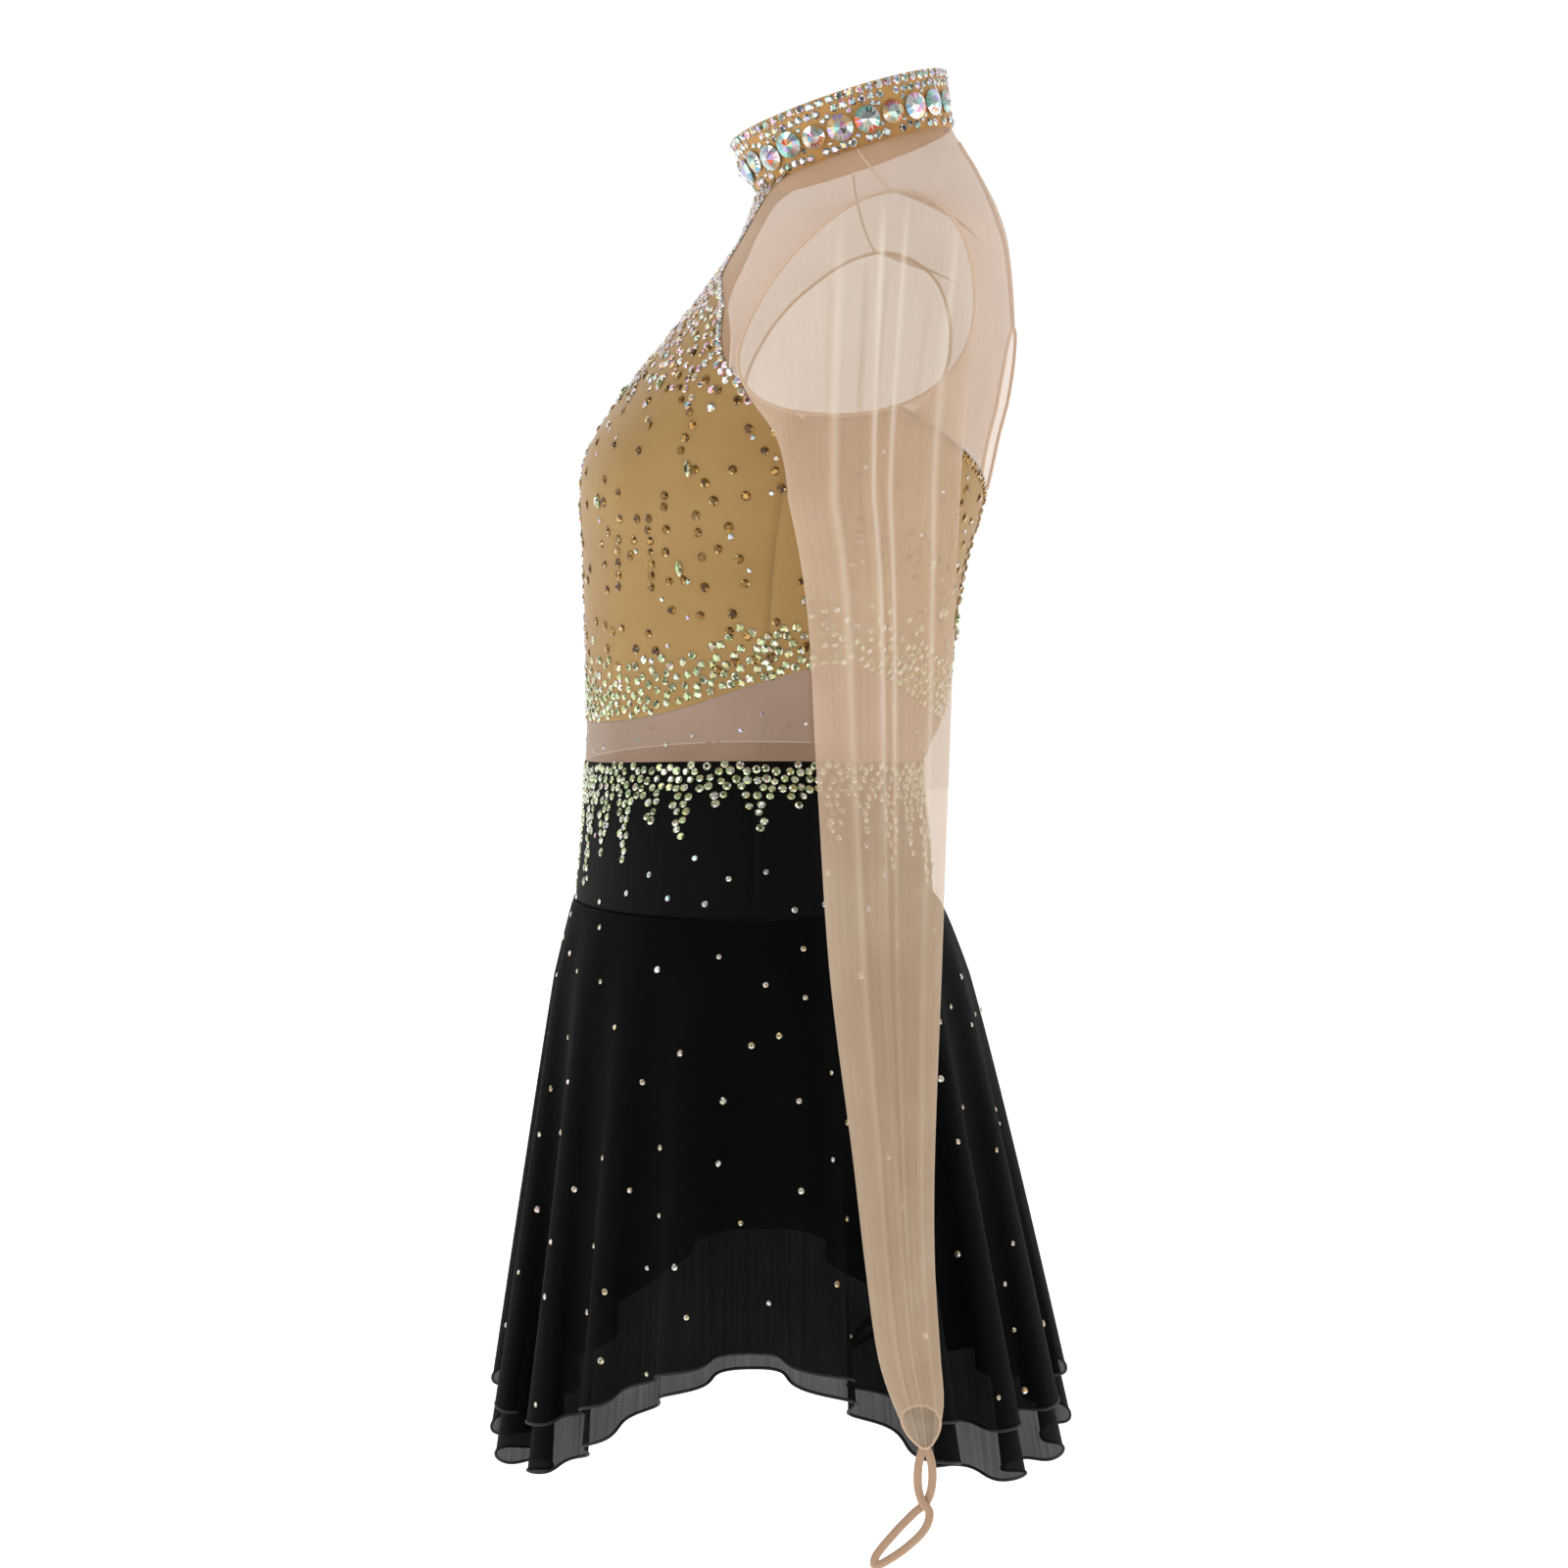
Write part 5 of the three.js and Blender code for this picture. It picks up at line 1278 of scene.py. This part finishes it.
TOPAZ_PARTS = (  # which, surface, chains, their heads' shares across and up, step, single tries, chance
    ("front", front_bodice_at, 16, (0.12, 0.88), (0.25, 0.62), 0.0205, 900, 0.62),
    ("back", back_bodice_at, 12, (0.06, 0.94), (0.5, 0.92), 0.055, 420, 0.5),
)
for piece_name, surface, count, s_range, t_range, step, tries, chance in TOPAZ_PARTS:
    share = np.concatenate([chains(count, s_range, t_range, step), rng.uniform(0, 1, (tries, 2))])
    points = surface(share[:, 0], share[:, 1])
    fit = chest_only(share[:, 0], share[:, 1], points)
    wanted = np.arange(len(share)) < len(share) - tries
    wanted |= rng.uniform(0, 1, len(share)) < chance * fit
    wanted &= fit > 0.3
    share, points = share[wanted], points[wanted]
    spread = np.where(np.arange(len(share)) < count * 4, 2.75, 4.8)
    chosen = apart(points, spread, 1.0)
    share, points = share[chosen], points[chosen]
    normals = outward(surface, share[:, 0], share[:, 1])
    radii = rng.uniform(2.4, 2.9, len(share))
    set_stones(f"{piece_name}_topaz_stones", points + 0.1 * normals, normals, radii, TOPAZ_AND_GLINTS)
    sparse_name = f"{piece_name}_sparse_clear_stones"
    scattered(sparse_name, surface, 130, sparsely, (1.3, 1.9), RAINBOW_AND_GLINTS, room=4.0)
    s, t = rng.uniform(0.1, 0.9, NAVETTE_COUNT), rng.uniform(0.25, 0.6, NAVETTE_COUNT)
    normals = outward(surface, s, t)
    centres, radii = surface(s, t) + 0.3 * normals, np.full(NAVETTE_COUNT, NAVETTE_RADIUS)
    set_stones(f"{piece_name}_navettes", centres, normals, radii, GREEN_GOLD_AND_GLINTS, navette_shape(), spin=0.12)

# --- bodice hem: a crowded border of green-gold stones that thins out upwards ---
BORDER_FOOT, BORDER_DEPTH, BORDER_FADE = 2, 15, 5.0
for piece_name, surface, top in (("front", front_bodice_at, 0.22), ("back", back_bodice_at, 0.45)):

    def hem_part(s, t, surface=surface, top=top):
        """The bodice from its hem up to a share of its height."""
        return surface(s, t * top)

    def border_crowd(s, t, points, hem_part=hem_part):
        """Certain over the border's depth above the hem, then an exponential fall."""
        above = points[:, 2] - hem_part(s, 0 * t)[:, 2]
        fallen = np.exp(-np.maximum(0, above - BORDER_DEPTH) / BORDER_FADE)
        return np.where(above < BORDER_FOOT, 0, fallen)

    hem_name = f"{piece_name}_hem_stones"
    scattered(hem_name, hem_part, 14000, border_crowd, SMALL_RADII, GREEN_GOLD_AND_GLINTS, room=0.96, crowd=True)

# --- midriff: a few tiny clear stones on the sheer inset ---
def evenly(chance):
    """The same chance for every stone."""
    return lambda s, t, points: np.full(len(s), chance)


for half_name, start in HALVES:
    skin = midriff_skin(start, 4)
    scattered(f"{half_name}_midriff_stones", skin, 60, evenly(0.8), (0.9, 1.6), RAINBOW_AND_GLINTS, room=5.5)

# --- hip yoke: a crowded band under the waist and drips that run down from it to points ---
DRIP_SPACING, DRIP_HALF, DRIP_SHORTER = 26.0, 6.5, 14  # every other drip is shorter
BAND_DEPTH, DRIP_REACH = (15, 24), (38, 78)  # at the sides, and at the middle of the front and back
HIP_RADIUS = 130  # an even one, to measure round the hips
BAND_FOOT = 34


def yoke_angle(start, s):
    """The angle across a hip yoke's half, a little short of the side seams."""
    return start + 0.6 + s * 178.8


for half_name, start in HALVES:

    def yoke_skin(s, t, start=start):
        """The hip yoke's cloth, t from the seam to the waist."""
        angle = yoke_angle(start, s)
        return body(angle, mix(HIP + 2, waist_line(angle) - 1, t))

    def drips(s, t, points, start=start):
        """Certain within the band, which is deeper at the front, and inside drips that narrow downwards."""
        angle = yoke_angle(start, s)
        below = waist_line(angle) - mix(HIP + 2, waist_line(angle) - 1, t)
        ahead = np.abs(np.cos(np.radians(angle))) ** 2
        band = mix(*BAND_DEPTH, ahead)
        around = np.radians(from_front(angle)) * HIP_RADIUS
        which = np.round(around / DRIP_SPACING)
        off = np.abs(around - which * DRIP_SPACING)
        reach = mix(*DRIP_REACH, ahead) - DRIP_SHORTER * (which % 2)
        width = DRIP_HALF * (1 - (below - band) / np.maximum(1, reach - band)) + 1.6
        return np.where(below < band, 1.0, np.where((below < reach) & (off < width), 0.95, 0.0))

    def below_drips(s, t, points, start=start):
        """Single stones lie from the band's foot down."""
        return 0.8 * (waist_line(yoke_angle(start, s)) - points[:, 2] > BAND_FOOT)

    hip_name = f"{half_name}_hip"
    scattered(f"{hip_name}_stones", yoke_skin, 15000, drips, SMALL_RADII, GREEN_GOLD_AND_GLINTS, 0.15, 0.96, crowd=True)
    scattered(f"{hip_name}_single_stones", yoke_skin, 150, below_drips, (1.6, 2.1), RAINBOW_AND_GLINTS, room=5.0)

# --- skirt: single stones scattered over the upper layer ---
# White facets here are painted glints and the dull olive ones painted dark reflections; the rest are the
# stones' tints.
SKIRT_MIX_AND_GLINTS = {
    "#ffffff": 0.25, "#e9d9a6": 0.2, "#d9b070": 0.2, "#cfe3d0": 0.15, "#f0c8c8": 0.1, "#8a7a50": 0.1,
}  # fmt: skip
for half_name, start in HALVES:
    over = skirt_surfaces[half_name, "over"]
    scattered(f"{half_name}_skirt_stones", over, 420, evenly(0.6), (1.4, 2.1), SKIRT_MIX_AND_GLINTS, lift=0.3, room=7.5)

# --- keyhole: a row of topaz stones along the band's upper edge ---
EDGE_COUNT, EDGE_RADIUS = 58, 2.6
angle = np.linspace(BAND_MEETS_ARMHOLE + 4, 360 - BAND_MEETS_ARMHOLE - 4, EDGE_COUNT)
height = back_bodice_top(angle) - EDGE_RADIUS
centres, normals = body(angle, height), body_normal(angle, height)
set_stones("back_edge_stones", centres + 0.1 * normals, normals, np.full(EDGE_COUNT, EDGE_RADIUS), TOPAZ_AND_GLINTS)
